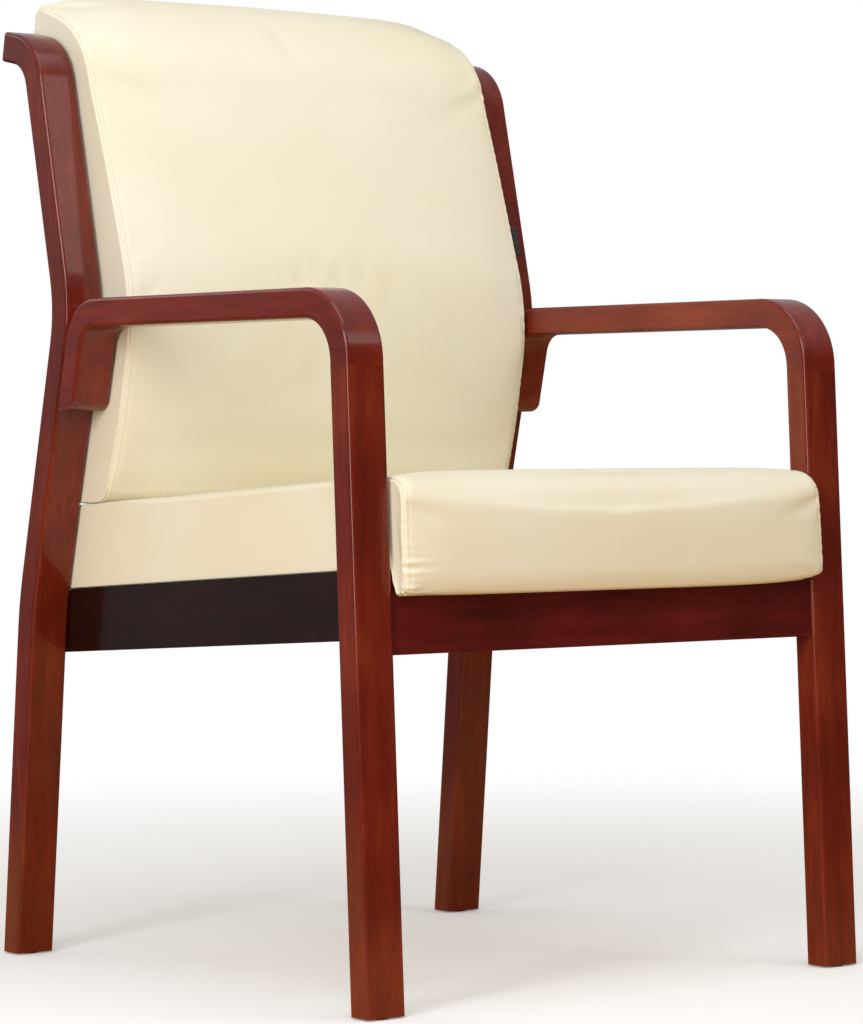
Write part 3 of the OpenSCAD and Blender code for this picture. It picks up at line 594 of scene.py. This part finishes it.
def swell(piece, held, cap_mm, freedom):
    """Cloth with pressure inside. held marks the vertices that stay; freedom fades the move."""
    group = piece.vertex_groups.new(name="held")
    group.add(np.nonzero(held)[0].tolist(), 1.0, "REPLACE")
    cloth = piece.modifiers.new("Cloth", "CLOTH")
    for name, value in CLOTH.items():
        setattr(cloth.settings, name, value)
    cloth.settings.vertex_group_mass = group.name
    cloth.settings.effector_weights.gravity = 0
    before = points_of(piece.data)
    for step in range(1, CLOTH_STEPS + 1):
        scene.frame_set(step)
    graph = bpy.context.evaluated_depsgraph_get()
    after = points_of(piece.evaluated_get(graph).data)
    scene.frame_set(1)
    piece.modifiers.remove(cloth)
    piece.vertex_groups.remove(group)
    move = after - before
    far = np.linalg.norm(move, axis=1)
    kept = cap_mm * MM * np.tanh(far / (cap_mm * MM)) / np.maximum(far, TINY)
    write_points(piece.data, before + move * (kept * freedom)[:, None])
    print(piece.name, "swelled by up to", round(float((far * kept * freedom).max() / MM), 1), "mm")


# %% [markdown]
# ## Sewing it
# A seam pulls the leather down into a narrow groove. On either side it rises again in a soft lip,
# and the slack that the needle gathers stands as small puckers across the seam. They are strongest
# where the panel turns a corner. A bump in the material could shade them, but it would leave the
# pad's outline smooth. They are sculpted after the cloth, because they are finer than its mesh.

# %% Seam, lips and puckers, in millimetres
GROOVE_W = 1.0
SEAM_LIP_OUT, SEAM_LIP_W, SEAM_LIP_SHARE = 3.0, 2.0, 0.12
STITCH_IN, STITCH_DENT_W, STITCH_DENT_SHARE = 5.2, 1.0, 0.3
PUCKERS = (8, 10, 13)
PUCKER_BASE, PUCKER_REACH, PUCKER_STRETCH, PUCKER_CLEAR = 0.2, 4, 11, 1.5
WANDER, WANDER_RUN, FULL_TURN = 1.6, 4.7, 6.28


def ripples(run, lengths, seed):
    """A sum of waves along a seam, between about -1 and 1, the same on each run of the script."""
    chance = np.random.default_rng(seed)
    total = np.zeros_like(run)
    for length in lengths:
        drift = WANDER * np.sin(run / (length * WANDER_RUN) + chance.uniform(0, FULL_TURN))
        total += np.sin(2 * math.pi * run / length + drift + chance.uniform(0, FULL_TURN))
    return total / len(lengths)


def subdivide(piece):
    smooth = piece.modifiers.new("Smooth", "SUBSURF")
    smooth.levels = smooth.render_levels = 1
    graph = bpy.context.evaluated_depsgraph_get()
    finer = bpy.data.meshes.new_from_object(piece.evaluated_get(graph), depsgraph=graph)
    piece.modifiers.clear()
    old = piece.data
    piece.data = finer
    bpy.data.meshes.remove(old)
    finer.name = piece.name


def normals_of(mesh):
    return read_vectors(mesh.vertex_normals, "vector")


def bell(x, width):
    return np.exp(-((x / width) ** 2))


def sew(piece, depth, pucker, seed, gather):
    """gather(points) says how strongly the seam is gathered at each vertex, from 0 to 1."""
    mesh = piece.data
    points = points_of(mesh)
    gap, run = read_value(mesh, "seam_gap"), read_value(mesh, "seam_run")
    far = np.abs(gap)
    groove = -depth * bell(gap, GROOVE_W)
    lips = SEAM_LIP_SHARE * depth * bell(far - SEAM_LIP_OUT, SEAM_LIP_W)
    stitched = -STITCH_DENT_SHARE * depth * bell(gap - STITCH_IN, STITCH_DENT_W)
    gathered = gather(points)
    right = points[:, 0] > 0
    waves = np.where(right, ripples(run, PUCKERS, seed), ripples(run, PUCKERS, seed + 1))
    reach = np.where(gap > 0, PUCKER_REACH + PUCKER_STRETCH * gathered, PUCKER_REACH)
    fade = np.exp(-((far / reach) ** 1.5)) * smooth_step(far, 0, PUCKER_CLEAR)
    puckers = pucker * (PUCKER_BASE + gathered) * waves * fade
    rise = groove + lips + stitched + puckers
    write_points(mesh, points + normals_of(mesh) * (rise * MM)[:, None])
    print(piece.name, "is sewn, with a relief of", round(np.ptp(rise), 1), "mm")


# %% [markdown]
# ## The seat pad
# The seat's panel runs from its underside up the front, over a soft front edge of about 26 mm
# radius, and back to the rear. In front of the rail it hangs down as a roll. Under the board it is
# turned in as a hem, and the board shows inside it. A plain rounded outline would lack that roll.

# %% The seat's outline, in millimetres
SEAT_H, SEAT_ROUND = 84, 26
SEAT_REAR_R, HEM_REAR_R, HEM_GAP = 12, 5, 0.4
LIP_DROP, LIP_T, LIP_R, LIP_SLOPE = 25, 25, 8, 2.5
LIP_POINTS, SLOPE_MIDDLE, HEM_IN, HEM_POINTS = 4, 1.2, 3, 133
SEAT_MIDS, SEAT_END_ROWS = (35, 40), 15
# Half the space between the legs, and the gap that a pad leaves to the wood
HALF_INNER, SIDE_GAP = 249, 0.9


def seat_under(s):
    return HEM_GAP - (LIP_DROP + HEM_GAP) * (1 - smooth_step(s - LIP_T, -LIP_SLOPE, LIP_SLOPE))


under_stations = np.concatenate([
    np.linspace(LIP_R, LIP_T - LIP_SLOPE, LIP_POINTS),
    [LIP_T - SLOPE_MIDDLE, LIP_T],
    np.linspace(LIP_T + HEM_IN, SEAT_LEN - HEM_REAR_R, HEM_POINTS),
])
top_stations = np.linspace(SEAT_ROUND, SEAT_LEN - SEAT_REAR_R, len(under_stations))
seat_upper = chain(
    *SEAT_MIDS, level(SEAT_H), top_stations, SEAT_ROUND, SEAT_REAR_R, 1, SEAT_END_ROWS
)
seat_lower = chain(*SEAT_MIDS, seat_under, under_stations, LIP_R, HEM_REAR_R, -1, SEAT_END_ROWS)
print("seat outline:", len(seat_upper), "points above,", len(seat_lower), "below")

# %% The seat's crown, width and softness, in millimetres
# The rise of the top, in the middle of the seat, and of its front
TOP_RISE, TOP_BLEND, TOP_REAR_FLAT = 3.5, 30, 14
FRONT_RISE, FRONT_MID, FRONT_BLEND = 2.0, 34, 12
# Where the back pad presses the seat, and how much of the rise and of the roll that takes
PRESSED_FROM, PRESSED_BLEND, PRESSED_SHARE = 400, 50, 0.75
FIRM_FROM, FIRM_BLEND, FIRM_SHARE = 410, 60, 0.8
# The front roll's lower corners, left (-1) and right (1): their radius, and how far they turn up
LIP_CORNER_R, LIP_TURN_UP = {-1: 3, 1: 14}, {-1: 1.8, 1: 4.5}
TURN_FROM, TURN_BLEND, TURN_INSIDE, TURN_END = 10, 12, 6, 4
# How far the sides are drawn in, in the middle and along the front's upper edge
SEAT_SIDE_PULL, SEAT_TOP_TAPER, TAPER_DOWN, TAPER_BACK = 3, 4, 20, 60
UNDER_SHARE, UNDER_FROM, UNDER_BLEND = 0.25, 1, 7
# How flat a panel stays before it falls to its sides and its ends, and how late a corner turns up
ACROSS_POWER, END_POWER, TURN_POWER = 2.6, 5, 7


def bowed(share, power=2):
    """1 in the middle of a run, and 0 at its ends."""
    return 1 - np.abs(2 * share - 1) ** power


def seat_crown(u, outline):
    """Rise of the panel: most in the middle of the seat, a little in the middle of its front. The
    lower edge of the front roll turns up towards the corners, more on the right."""
    side, u = -1 if u < 0 else 1, abs(u)
    s, d = outline[:, 0], outline[:, 1]
    on_top = smooth_step(d - SEAT_H, -TOP_BLEND, TOP_BLEND)
    back = np.clip((s - SEAT_ROUND) / (SEAT_LEN - SEAT_ROUND - TOP_REAR_FLAT), 0, 1)
    pressed = 1 - PRESSED_SHARE * smooth_step(s, PRESSED_FROM, PRESSED_BLEND)
    top = TOP_RISE * bowed(back, END_POWER) * on_top * pressed
    front = FRONT_RISE * bell(d - FRONT_MID, FRONT_MID) * (1 - smooth_step(s, 0, FRONT_BLEND))
    on_lip = 1 - smooth_step(s - LIP_T, -TURN_INSIDE, TURN_END)
    lip = smooth_step(-d, TURN_FROM, TURN_BLEND) * on_lip
    return (top + front) * (1 - u ** ACROSS_POWER) - LIP_TURN_UP[side] * lip * u ** TURN_POWER


def seat_half_width(outline, side):
    """Half width of the seat: drawn in at its middle and top, and rounded at its lower front
    corners. The left corner is pulled tighter, and is nearly square."""
    s, d = outline[:, 0], outline[:, 1]
    pull = SEAT_SIDE_PULL * bowed(np.clip(s / SEAT_LEN, 0, 1))
    taper = SEAT_TOP_TAPER * np.exp(-(SEAT_H - d) / TAPER_DOWN) * (1 - smooth_step(s, 0, TAPER_BACK))
    radius = LIP_CORNER_R[side]
    low = np.clip(radius - LIP_DROP - d, 0, radius)
    return HALF_INNER - SIDE_GAP - pull - taper - (radius - np.sqrt(radius ** 2 - low ** 2))


def seat_soft(outline, under):
    """The sides hardly sink underneath, or where the back pad presses on the seat."""
    s = outline[:, 0]
    below = UNDER_SHARE + (1 - UNDER_SHARE) * (1 - smooth_step(s, UNDER_FROM, UNDER_BLEND))
    above = 1 - FIRM_SHARE * smooth_step(s, FIRM_FROM, FIRM_BLEND)
    return np.where(under, below, above)


SEAT_ROLL_W, SEAT_ROLL_D, COLUMN_W = 11, 7, 8
seat_pad = pad_mesh(
    "seat_pad", seat_upper, seat_lower, seat_half_width, seat_soft, SEAT_ROLL_W, SEAT_ROLL_D,
    seat_crown, on_seat, COLUMN_W,
)

# %% Fill and sew the seat pad
SEAM_HOLD, HEM_HOLD, HEM_START, LIP_HOLD = 2.6, 1.5, 4, 2
SEAT_CAP, SEAT_SEAM, SEAT_PUCKER, SEAT_SEED = 3, 1.3, 1.9, 11
REST_FROM, REST_BLEND, REST_ABOVE = 380, 60, 60
GATHER_TOP, GATHER_DOWN, GATHER_BEHIND, GATHER_BLEND, RIGHT_GATHER = 438, 45, -260, 20, 0.12


def seat_places(mesh):
    """Distance behind the front and height above the rails of each vertex, in millimetres."""
    points = points_of(mesh) / MM
    y, z = points[:, 1], points[:, 2] - RAIL_TOP_H
    s = y * math.cos(SEAT_PITCH) - z * math.sin(SEAT_PITCH) - SEAT_FRONT
    return s, y * math.sin(SEAT_PITCH) + z * math.cos(SEAT_PITCH)


s, d = seat_places(seat_pad.data)
gap = read_value(seat_pad.data, "seam_gap")
under = (d < HEM_HOLD) & (s > LIP_T - HEM_START) | (d < -LIP_DROP + LIP_HOLD)
seat_held = under | (np.abs(gap) < SEAM_HOLD)
clear = 1 - smooth_step(s, REST_FROM, REST_BLEND) * (d > REST_ABOVE)
swell(seat_pad, seat_held, SEAT_CAP, clear * np.where(gap < 0, 0.0, 1.0))
subdivide(seat_pad)


def seat_gather(points):
    """The seam is gathered low on the front corners, hardest on the left."""
    y, z = points[:, 1] / MM, points[:, 2] / MM
    low = smooth_step(GATHER_TOP - z, 0, GATHER_DOWN)
    front = smooth_step(GATHER_BEHIND - y, 0, GATHER_BLEND)
    return low * front * np.where(points[:, 0] < 0, 1.0, RIGHT_GATHER)


sew(seat_pad, SEAT_SEAM, SEAT_PUCKER, SEAT_SEED, seat_gather)

# %% [markdown]
# ## The back pad
# The back pad follows the post's line and is thickest at the waist, where it holds the small of the
# back. It thins towards the scroll and wraps over it, and its lower end is rounded to clear the
# seat. One thickness all along would be simpler, but a real back is shaped to the sitter, so the
# thickness is a smoothed line through a few shares of it.

# %% The back's thickness and lower end, in millimetres
BACK_SIDE_T, BACK_FACE_OUT, BACK_REAR = 60, 4, 4
DEPTH_SHARES = (
    (0, 0.85), (0.06, 1), (0.16, 1.04), (0.3, 1), (0.4, 0.93), (0.54, 0.83), (0.67, 0.73),
    (0.79, 0.61), (0.89, 0.58), (1, 0.73),
)
OVERRUN, SHARE_POINTS, SMOOTHING = 0.1, 481, 31
REST_SLOPE, REST_LEN, REST_DROP, REST_D = math.tan(math.radians(17)), 110, 8, 48
shares = np.linspace(-OVERRUN, 1 + OVERRUN, SHARE_POINTS)
depths = np.interp(shares, *zip(*DEPTH_SHARES)) * BACK_SIDE_T
kernel = np.hanning(SMOOTHING) / np.hanning(SMOOTHING).sum()
soft_depths = np.convolve(np.pad(depths, SMOOTHING // 2, mode="edge"), kernel, mode="valid")
print("back pad:", round(soft_depths.min(), 1), "to", round(soft_depths.max(), 1), "mm thick")


def back_face(s):
    return np.interp(s / BACK_LEN, shares, soft_depths) + BACK_FACE_OUT


def on_seat_end(x, s, d):
    """The back's place, with its lower end cut level with the seat that it rests on."""
    low = 1 - smooth_step(s, 0, REST_LEN)
    return on_back(x, s - (REST_DROP + (REST_D - d) * REST_SLOPE) * low, d)


# %% Build the back pad
FACE_FROM, FACE_BLEND, BODY_RISE = 18, 14, 6.0
PUFF_RISE, PUFF_FROM, PUFF_BLEND, PUFF_POWER = 10.0, 95, 75, 9
BACK_SIDE_PULL, BACK_ROLL_W, BACK_ROLL_D = 3, 12, 8
LOW_SHARE, LOW_FROM, LOW_BLEND = 0.8, 5, 30
REAR_SHARE, REAR_BLEND = 0.75, 10
BACK_MIDS, BACK_ROUND, BACK_REAR_R, REAR_INSET, REAR_POINTS = (26, 22), 15, 5, 6, 118


def back_crown(u, outline):
    """Rise of the front panel: most in the middle of the back, and a puff over the scroll."""
    s, d = outline[:, 0], outline[:, 1]
    u = abs(u)
    on_face = smooth_step(d, FACE_FROM, FACE_BLEND)
    body = BODY_RISE * bowed(np.clip(s / BACK_LEN, 0, 1), END_POWER) * (1 - u ** ACROSS_POWER)
    puff = PUFF_RISE * smooth_step(s - BACK_LEN, -PUFF_FROM, PUFF_BLEND) * (1 - u ** PUFF_POWER)
    return (body + puff) * on_face


def back_half_width(outline, side):
    share = np.clip(outline[:, 0] / BACK_LEN, 0, 1)
    return HALF_INNER - SIDE_GAP - BACK_SIDE_PULL * bowed(share)


def back_soft(outline, under):
    """The sides hardly sink at the rear, or where the pad presses on the seat."""
    s = outline[:, 0]
    low_end = 1 - LOW_SHARE * (1 - smooth_step(s, LOW_FROM, LOW_BLEND))
    rear = 1 - REAR_SHARE * smooth_step(np.minimum(s, BACK_LEN - s), 0, REAR_BLEND)
    return np.where(under, np.minimum(rear, low_end), low_end)


rear_stations = np.linspace(REAR_INSET, BACK_LEN - REAR_INSET, REAR_POINTS)
face_stations = np.linspace(BACK_ROUND, BACK_LEN - BACK_ROUND, len(rear_stations))
back_pad = pad_mesh(
    "back_pad",
    chain(*BACK_MIDS, back_face, face_stations, BACK_ROUND, BACK_ROUND, 1),
    chain(*BACK_MIDS, level(BACK_REAR), rear_stations, BACK_REAR_R, BACK_REAR_R, -1),
    back_half_width, back_soft, BACK_ROLL_W, BACK_ROLL_D, back_crown, on_seat_end, COLUMN_W,
)

# %% Fill and sew the back pad
BACK_CAP, BACK_SEAM, BACK_PUCKER, BACK_SEED = 4, 1.2, 0.7, 31
GATHER_ALL, GATHER_BEND, BEND_FROM, BEND_BLEND = 0.25, 0.5, 0.84, 0.05
STILL_BELOW, STILL_BLEND = 0.53, 0.03
gap = read_value(back_pad.data, "seam_gap")
run = read_value(back_pad.data, "seam_run")
height = points_of(back_pad.data)[:, 2]
back_held = (np.abs(gap) < SEAM_HOLD) | (run < 0)
off_seat = 1 - smooth_step(STILL_BELOW - height, 0, STILL_BLEND)
swell(back_pad, back_held, BACK_CAP, np.where(gap < 0, 0.0, 1.0) * off_seat)
subdivide(back_pad)


def back_gather(points):
    """The seam is gathered where the pad bends over the scroll, and a little all along."""
    return GATHER_ALL + GATHER_BEND * smooth_step(points[:, 2], BEND_FROM, BEND_BLEND)


sew(back_pad, BACK_SEAM, BACK_PUCKER, BACK_SEED, back_gather)


# %% Finish the pads and say what they stand for
def dress(piece, finish):
    """Gives a piece its finish and the body it rides on."""
    piece.data.materials.clear()
    piece.data.materials.append(finish)
    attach(piece, "root")


for pad, stands_for, fill in (
    (seat_pad, ("seat_cover", "seat_foam"), 0.9),
    (back_pad, ("back_cover", "back_foam"), 0.85),
):
    dress(pad, leather)
    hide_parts(*stands_for)
    print(pad.name, "stands for", stands_for)

# %% [markdown]
# ## Thread
# Both seams are top-stitched: a second row of stitches runs five millimetres inside the seam and
# holds its allowance flat. A stitch is 3 mm long and sits in the leather by half its thickness. A
# dashed line in the material would be flat, so each stitch is a small piece of thread. The row
# follows the pad's own column beside the seam, and lies on the leather wherever the pad swells.

# %% Lay the stitches along both seams of a pad
STITCH_MM, PITCH_MM, THREAD_R_MM, ROW_MARGIN_MM, LOOK_AHEAD_MM = 3.0, 4.2, 0.34, 12, 1.5
# A stitch along its length: the share of its length, of its thickness and of its rise
STITCH_SHAPE = (
    (-0.5, 0.15, -0.5), (-0.38, 0.8, 0.1), (0.0, 1.0, 0.45), (0.38, 0.8, 0.1), (0.5, 0.15, -0.5),
)
STITCH_SIDES = 6
STITCH_ANGLE = 36


def tube_faces(first, rings, sides):
    """Quads around a row of rings of points, and a cap at either end."""
    faces = []
    for r in range(rings - 1):
        base = first + r * sides
        for k in range(sides):
            a, b = base + k, base + (k + 1) % sides
            faces.append((a, b, b + sides, a + sides))
    last = first + (rings - 1) * sides
    faces.append(tuple(first + k for k in reversed(range(sides))))
    faces.append(tuple(last + k for k in range(sides)))
    return faces


def between(run, runs, values):
    return np.array([np.interp(run, runs, values[:, c]) for c in range(3)])


def stitch_rows(name, pad):
    """A row of stitches beside either seam of a pad, over the front half of its outline."""
    points, normals = points_of(pad.data), normals_of(pad.data)
    inner = ROLL_ANGLES.index(STITCH_ANGLE)
    corners, faces = [], []
    for row in (len(ROLL_ANGLES) - 1 - inner, pad["loops"] - len(ROLL_ANGLES) + inner):
        ids = np.arange(pad["face"]) + row * pad["ring"]
        line, up = points[ids], normals[ids]
        runs = lengths_along(line) / MM
        for middle in np.arange(ROW_MARGIN_MM, runs[-1] - ROW_MARGIN_MM, PITCH_MM):
            spot = between(middle, runs, line)
            ahead = between(middle + LOOK_AHEAD_MM, runs, line) - spot
            lift = between(middle, runs, up)
            ahead /= np.linalg.norm(ahead)
            lift -= ahead * lift.dot(ahead)
            lift /= np.linalg.norm(lift)
            across = np.cross(ahead, lift)
            faces += tube_faces(len(corners), len(STITCH_SHAPE), STITCH_SIDES)
            for share, width, height in STITCH_SHAPE:
                centre = spot + ahead * share * STITCH_MM * MM + lift * height * THREAD_R_MM * MM
                for k in range(STITCH_SIDES):
                    a = 2 * math.pi * k / STITCH_SIDES
                    ring = across * math.cos(a) + lift * math.sin(a)
                    corners.append(centre + ring * width * THREAD_R_MM * MM)
    dress(smooth_piece(name, corners, faces), thread)


stitch_rows("seat_stitches", seat_pad)
stitch_rows("back_stitches", back_pad)

# %% [markdown]
# ## The rear of the back
# From behind, a thin upholstered panel closes the back. It is a sheet wrapped in the same leather,
# with just enough wadding to round its edges and crown it a little. Two wrapped battens close the
# slots between it and the pad, at the lower and upper ends. Plain boxes would do, but as thin pads
# all three get rounded edges, from the function that makes the pads.

# %% Rear panel and battens, in millimetres
PANEL_BACK, PANEL_FRONT, PANEL_R, PANEL_RISE, PANEL_STATIONS = 14, 10, 1.9, 1.6, 90
PAD_BACK, BATTEN_W, BATTEN_R, BATTEN_RISE, BATTEN_STATIONS = 3.1, 20, 2.5, 0.4, 8
REAR_START, REAR_SHORT, STRIP_COLUMN_W, STRIP_POWER = 9, 4, 16, 6


def behind(x, s, d):
    return on_back(x, s, -d)


def wrapped(name, first, last, high, low, radius, crown, count, place):
    """A thin wrapped strip between two places on the back's line."""

    def rise(u, outline):
        share = np.clip((outline[:, 0] - radius) / (last - first - 2 * radius), 0, 1)
        on_top = smooth_step(outline[:, 1], low, high - low)
        return crown * bowed(share, STRIP_POWER) * on_top * (1 - u ** STRIP_POWER)

    stations = np.linspace(radius, last - first - radius, count)
    middle = (high + low) / 2
    return pad_mesh(
        name,
        chain(middle, middle, level(high), stations, radius, radius, 1),
        chain(middle, middle, level(low), stations, radius, radius, -1),
        lambda outline, side: np.full(len(outline), HALF_INNER - SIDE_GAP),
        lambda outline, under: np.ones(len(outline)),
        radius, radius, rise, lambda x, s, d: place(x, s + first, d), STRIP_COLUMN_W,
    )


rear_end = BACK_LEN - REAR_SHORT
rear_panel = wrapped(
    "rear_panel", REAR_START, rear_end, PANEL_BACK, PANEL_FRONT, PANEL_R, PANEL_RISE,
    PANEL_STATIONS, behind,
)
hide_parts("back_rear_panel")
strips = [rear_panel]
for name, first in (("lower_batten", REAR_START), ("upper_batten", rear_end - BATTEN_W)):
    batten = wrapped(
        name, first, first + BATTEN_W, PAD_BACK, -PANEL_FRONT, BATTEN_R, BATTEN_RISE,
        BATTEN_STATIONS, on_back,
    )
    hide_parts("back_battens")
    strips.append(batten)
for piece in strips:
    dress(piece, leather)

# %% [markdown]
# ## The side tag
# A short dark tape is folded double and caught beside the right side of the back, as on much
# furniture. It stays blank here. A flat strip would do from afar, but woven tape bends in a soft
# curve and shows a fold at its outer edge, so it is a bowed tube with a flat section.

# %% Fold the tag
TAG_LEN, TAG_OUT, TAG_TUCK, TAG_D, TAPE_T = 31, 7, 1.5, 49, 0.35
TAG_X, TAG_ROWS, TAG_BOW, FOLD_SWELL, FOLD_POINTS = 246.0, 17, 0.5, 1.15, 7
# How far the pad goes past its line, and the tag's middle below the pad's
PAD_OVER, TAG_DOWN = 5, 8
tag_s = (BACK_LEN + PAD_OVER) / 2 - TAG_DOWN
half_turn = np.linspace(-math.pi / 2, math.pi / 2, FOLD_POINTS)
fold = [
    (-TAG_TUCK, -TAPE_T),
    (TAG_OUT * 0.5, -TAPE_T * FOLD_SWELL),
    *((TAG_OUT + TAPE_T * math.cos(a), TAPE_T * math.sin(a)) for a in half_turn),
    (TAG_OUT * 0.5, TAPE_T * FOLD_SWELL),
    (-TAG_TUCK, TAPE_T),
]
tag_corners = []
for share in np.linspace(0, 1, TAG_ROWS):
    bow = TAG_BOW * math.sin(math.pi * share)
    s = tag_s + (share - 0.5) * TAG_LEN
    for out, thick in fold:
        tag_corners.append(on_back(TAG_X + out, s, TAG_D + thick + bow * out / TAG_OUT))
tag = smooth_piece("folded_tag", tag_corners, tube_faces(0, TAG_ROWS, len(fold)))
dress(tag, tape)
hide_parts("side_tag")

# %% [markdown]
# ## The studio
# The chair stands on a plain pale floor that fades into a white background. The key light hangs
# beside the camera, a tall strip on the left draws highlights along the wood's edges, and weaker
# lights fill in from above, the right and behind. Small lamps would be simpler, but a big one gives
# soft shadows on leather and long clean highlights on lacquer.

# %% Floor
# The camera sees a pale floor. The chair is lit by warm boards, as in the room it was made for.
FLOOR_R, FLOOR_SEGMENTS, FLOOR_GLOW, FADE_FROM, FADE_TO = 9.0, 96, 0.22, 0.7, 2.4
floor_mesh = bpy.data.meshes.new("floor")
floor_shape = bmesh.new()
bmesh.ops.create_circle(floor_shape, cap_ends=True, segments=FLOOR_SEGMENTS, radius=FLOOR_R)
floor_shape.to_mesh(floor_mesh)
floor_shape.free()
floor_paint, tree, place = new_finish("pale_studio_floor")
distance = add_node(tree, "VectorMath", {0: place}, {"operation": "LENGTH"}).outputs["Value"]
fade = add_node(
    tree, "MapRange", {"Value": distance, "From Min": FADE_FROM, "From Max": FADE_TO},
    {"interpolation_type": "SMOOTHSTEP"},
).outputs["Result"]
matt = add_node(tree, "BsdfPrincipled", {
    "Base Color": linear("#F2F3F6"), "Roughness": 0.7,
    "Emission Color": linear("#FFFFFF"), "Emission Strength": FLOOR_GLOW,
})
boards = add_node(tree, "BsdfPrincipled", {"Base Color": linear("#DDB272"), "Roughness": 0.7})
to_camera = add_node(tree, "LightPath").outputs["Is Camera Ray"]
painted = add_node(tree, "MixShader", {
    0: to_camera, 1: boards.outputs["BSDF"], 2: matt.outputs["BSDF"],
})
nothing = add_node(tree, "BsdfTransparent")
faded = add_node(tree, "MixShader", {
    0: fade, 1: painted.outputs["Shader"], 2: nothing.outputs["BSDF"],
})
add_node(tree, "OutputMaterial", {"Surface": faded.outputs["Shader"]})
floor_mesh.materials.append(floor_paint)
put_in_scene("floor", floor_mesh)
print("floor fades out from", FADE_FROM, "to", FADE_TO, "m")

# %% Background
# The lacquer mirrors a room that is dark behind the camera, and pale high up and behind the chair.
WALL_RISE, WALL_BEHIND, WALL_MIN, WALL_MAX = 1.2, 0.3, 0.03, 0.6
BOUNCE_GLOW = 0.42
scene.view_settings.view_transform = "Standard"
world = bpy.data.worlds.new("studio")
scene.world = world
world.use_nodes = True
sky = world.node_tree
sky.nodes.clear()
ray = add_node(sky, "LightPath").outputs
facing = add_node(sky, "TexCoord").outputs["Generated"]
towards = add_node(sky, "SeparateXYZ", {"Vector": facing}).outputs
backdrop = add_node(
    sky, "Math", {0: towards["Y"], 1: WALL_BEHIND}, {"operation": "MULTIPLY"}
).outputs[0]
wall = add_node(
    sky, "Math", {0: towards["Z"], 1: WALL_RISE, 2: backdrop}, {"operation": "MULTIPLY_ADD"}
).outputs[0]
wall_glow = add_node(sky, "Clamp", {
    "Value": wall, "Min": WALL_MIN, "Max": WALL_MAX,
}).outputs["Result"]
seen, mirrored, bounced = (
    add_node(sky, "Background", {"Color": linear(code), "Strength": glow}).outputs["Background"]
    for code, glow in (("#FFFFFF", 1.0), ("#F6F4F8", wall_glow), ("#FFF7E6", BOUNCE_GLOW))
)
unseen = add_node(sky, "MixShader", {0: ray["Is Glossy Ray"], 1: bounced, 2: mirrored})
both = add_node(sky, "MixShader", {
    0: ray["Is Camera Ray"], 1: unseen.outputs["Shader"], 2: seen,
})
add_node(sky, "OutputWorld", {"Surface": both.outputs["Shader"]})
print("the mirrored room glows from", WALL_MIN, "to", WALL_MAX)

# %% Lights
TARGET = Vector((0.0, 0.0, 0.5))


def soft_light(name, place, size, watts, code="#FFFFFF"):
    """A rectangular softbox that looks at the chair."""
    lamp = bpy.data.lights.new(name, "AREA")
    lamp.shape = "RECTANGLE"
    lamp.size, lamp.size_y = size
    lamp.energy = watts
    lamp.color = linear(code)[:3]
    holder = put_in_scene(name, lamp)
    holder.location = place
    holder.rotation_euler = (TARGET - Vector(place)).to_track_quat("-Z", "Y").to_euler()
    print(name, "gives", watts, "W")


soft_light("key_softbox", (-2.3, -2.5, 2.4), (1.7, 1.3), 31)
soft_light("left_strip_softbox", (-3.0, -1.5, 1.3), (0.7, 2.0), 48)
soft_light("top_softbox", (0.0, -0.8, 2.8), (2.0, 1.6), 19)
soft_light("right_softbox", (1.7, -2.9, 2.6), (0.9, 1.1), 6, "#FFF6EC")
soft_light("rear_softbox", (-1.6, 3.0, 2.0), (1.8, 1.2), 8)

# %% [markdown]
# ## The camera
# The photograph's perspective gives the camera: it stood 3.7 m away, at seat height, level, more
# than a third of the way round from the chair's front to its side, with a long lens. A camera could
# be placed by eye, but only the solved one lays the render over the photograph.

# %% Camera
SENSOR_MM, FOCAL_PX, FRAME_PX = 36.0, 3761.0, (863, 1024)
CENTRE_PX = (431.2, 471.5)
CAMERA_AT = (-2.195, -2.975, 0.479)
HEADING, ROLL = math.radians(36.62), math.radians(0.58)
forward = Vector((math.sin(HEADING), math.cos(HEADING), 0.0))
right = Vector((math.cos(HEADING), -math.sin(HEADING), 0.0))
up = Vector((0.0, 0.0, 1.0))
image_x = right * math.cos(ROLL) - up * math.sin(ROLL)
image_y = up * math.cos(ROLL) + right * math.sin(ROLL)
lens = bpy.data.cameras.new("camera")
lens.sensor_fit = "VERTICAL"
lens.sensor_height = SENSOR_MM
lens.lens = FOCAL_PX / FRAME_PX[1] * SENSOR_MM
lens.shift_x = (FRAME_PX[0] / 2 - CENTRE_PX[0]) / FRAME_PX[1]
lens.shift_y = (CENTRE_PX[1] - FRAME_PX[1] / 2) / FRAME_PX[1]
camera = put_in_scene("camera", lens)
turned = Matrix((image_x, image_y, -forward)).transposed().to_4x4()
camera.matrix_world = Matrix.Translation(CAMERA_AT) @ turned
scene.camera = camera
print("camera lens:", round(lens.lens, 1), "mm")
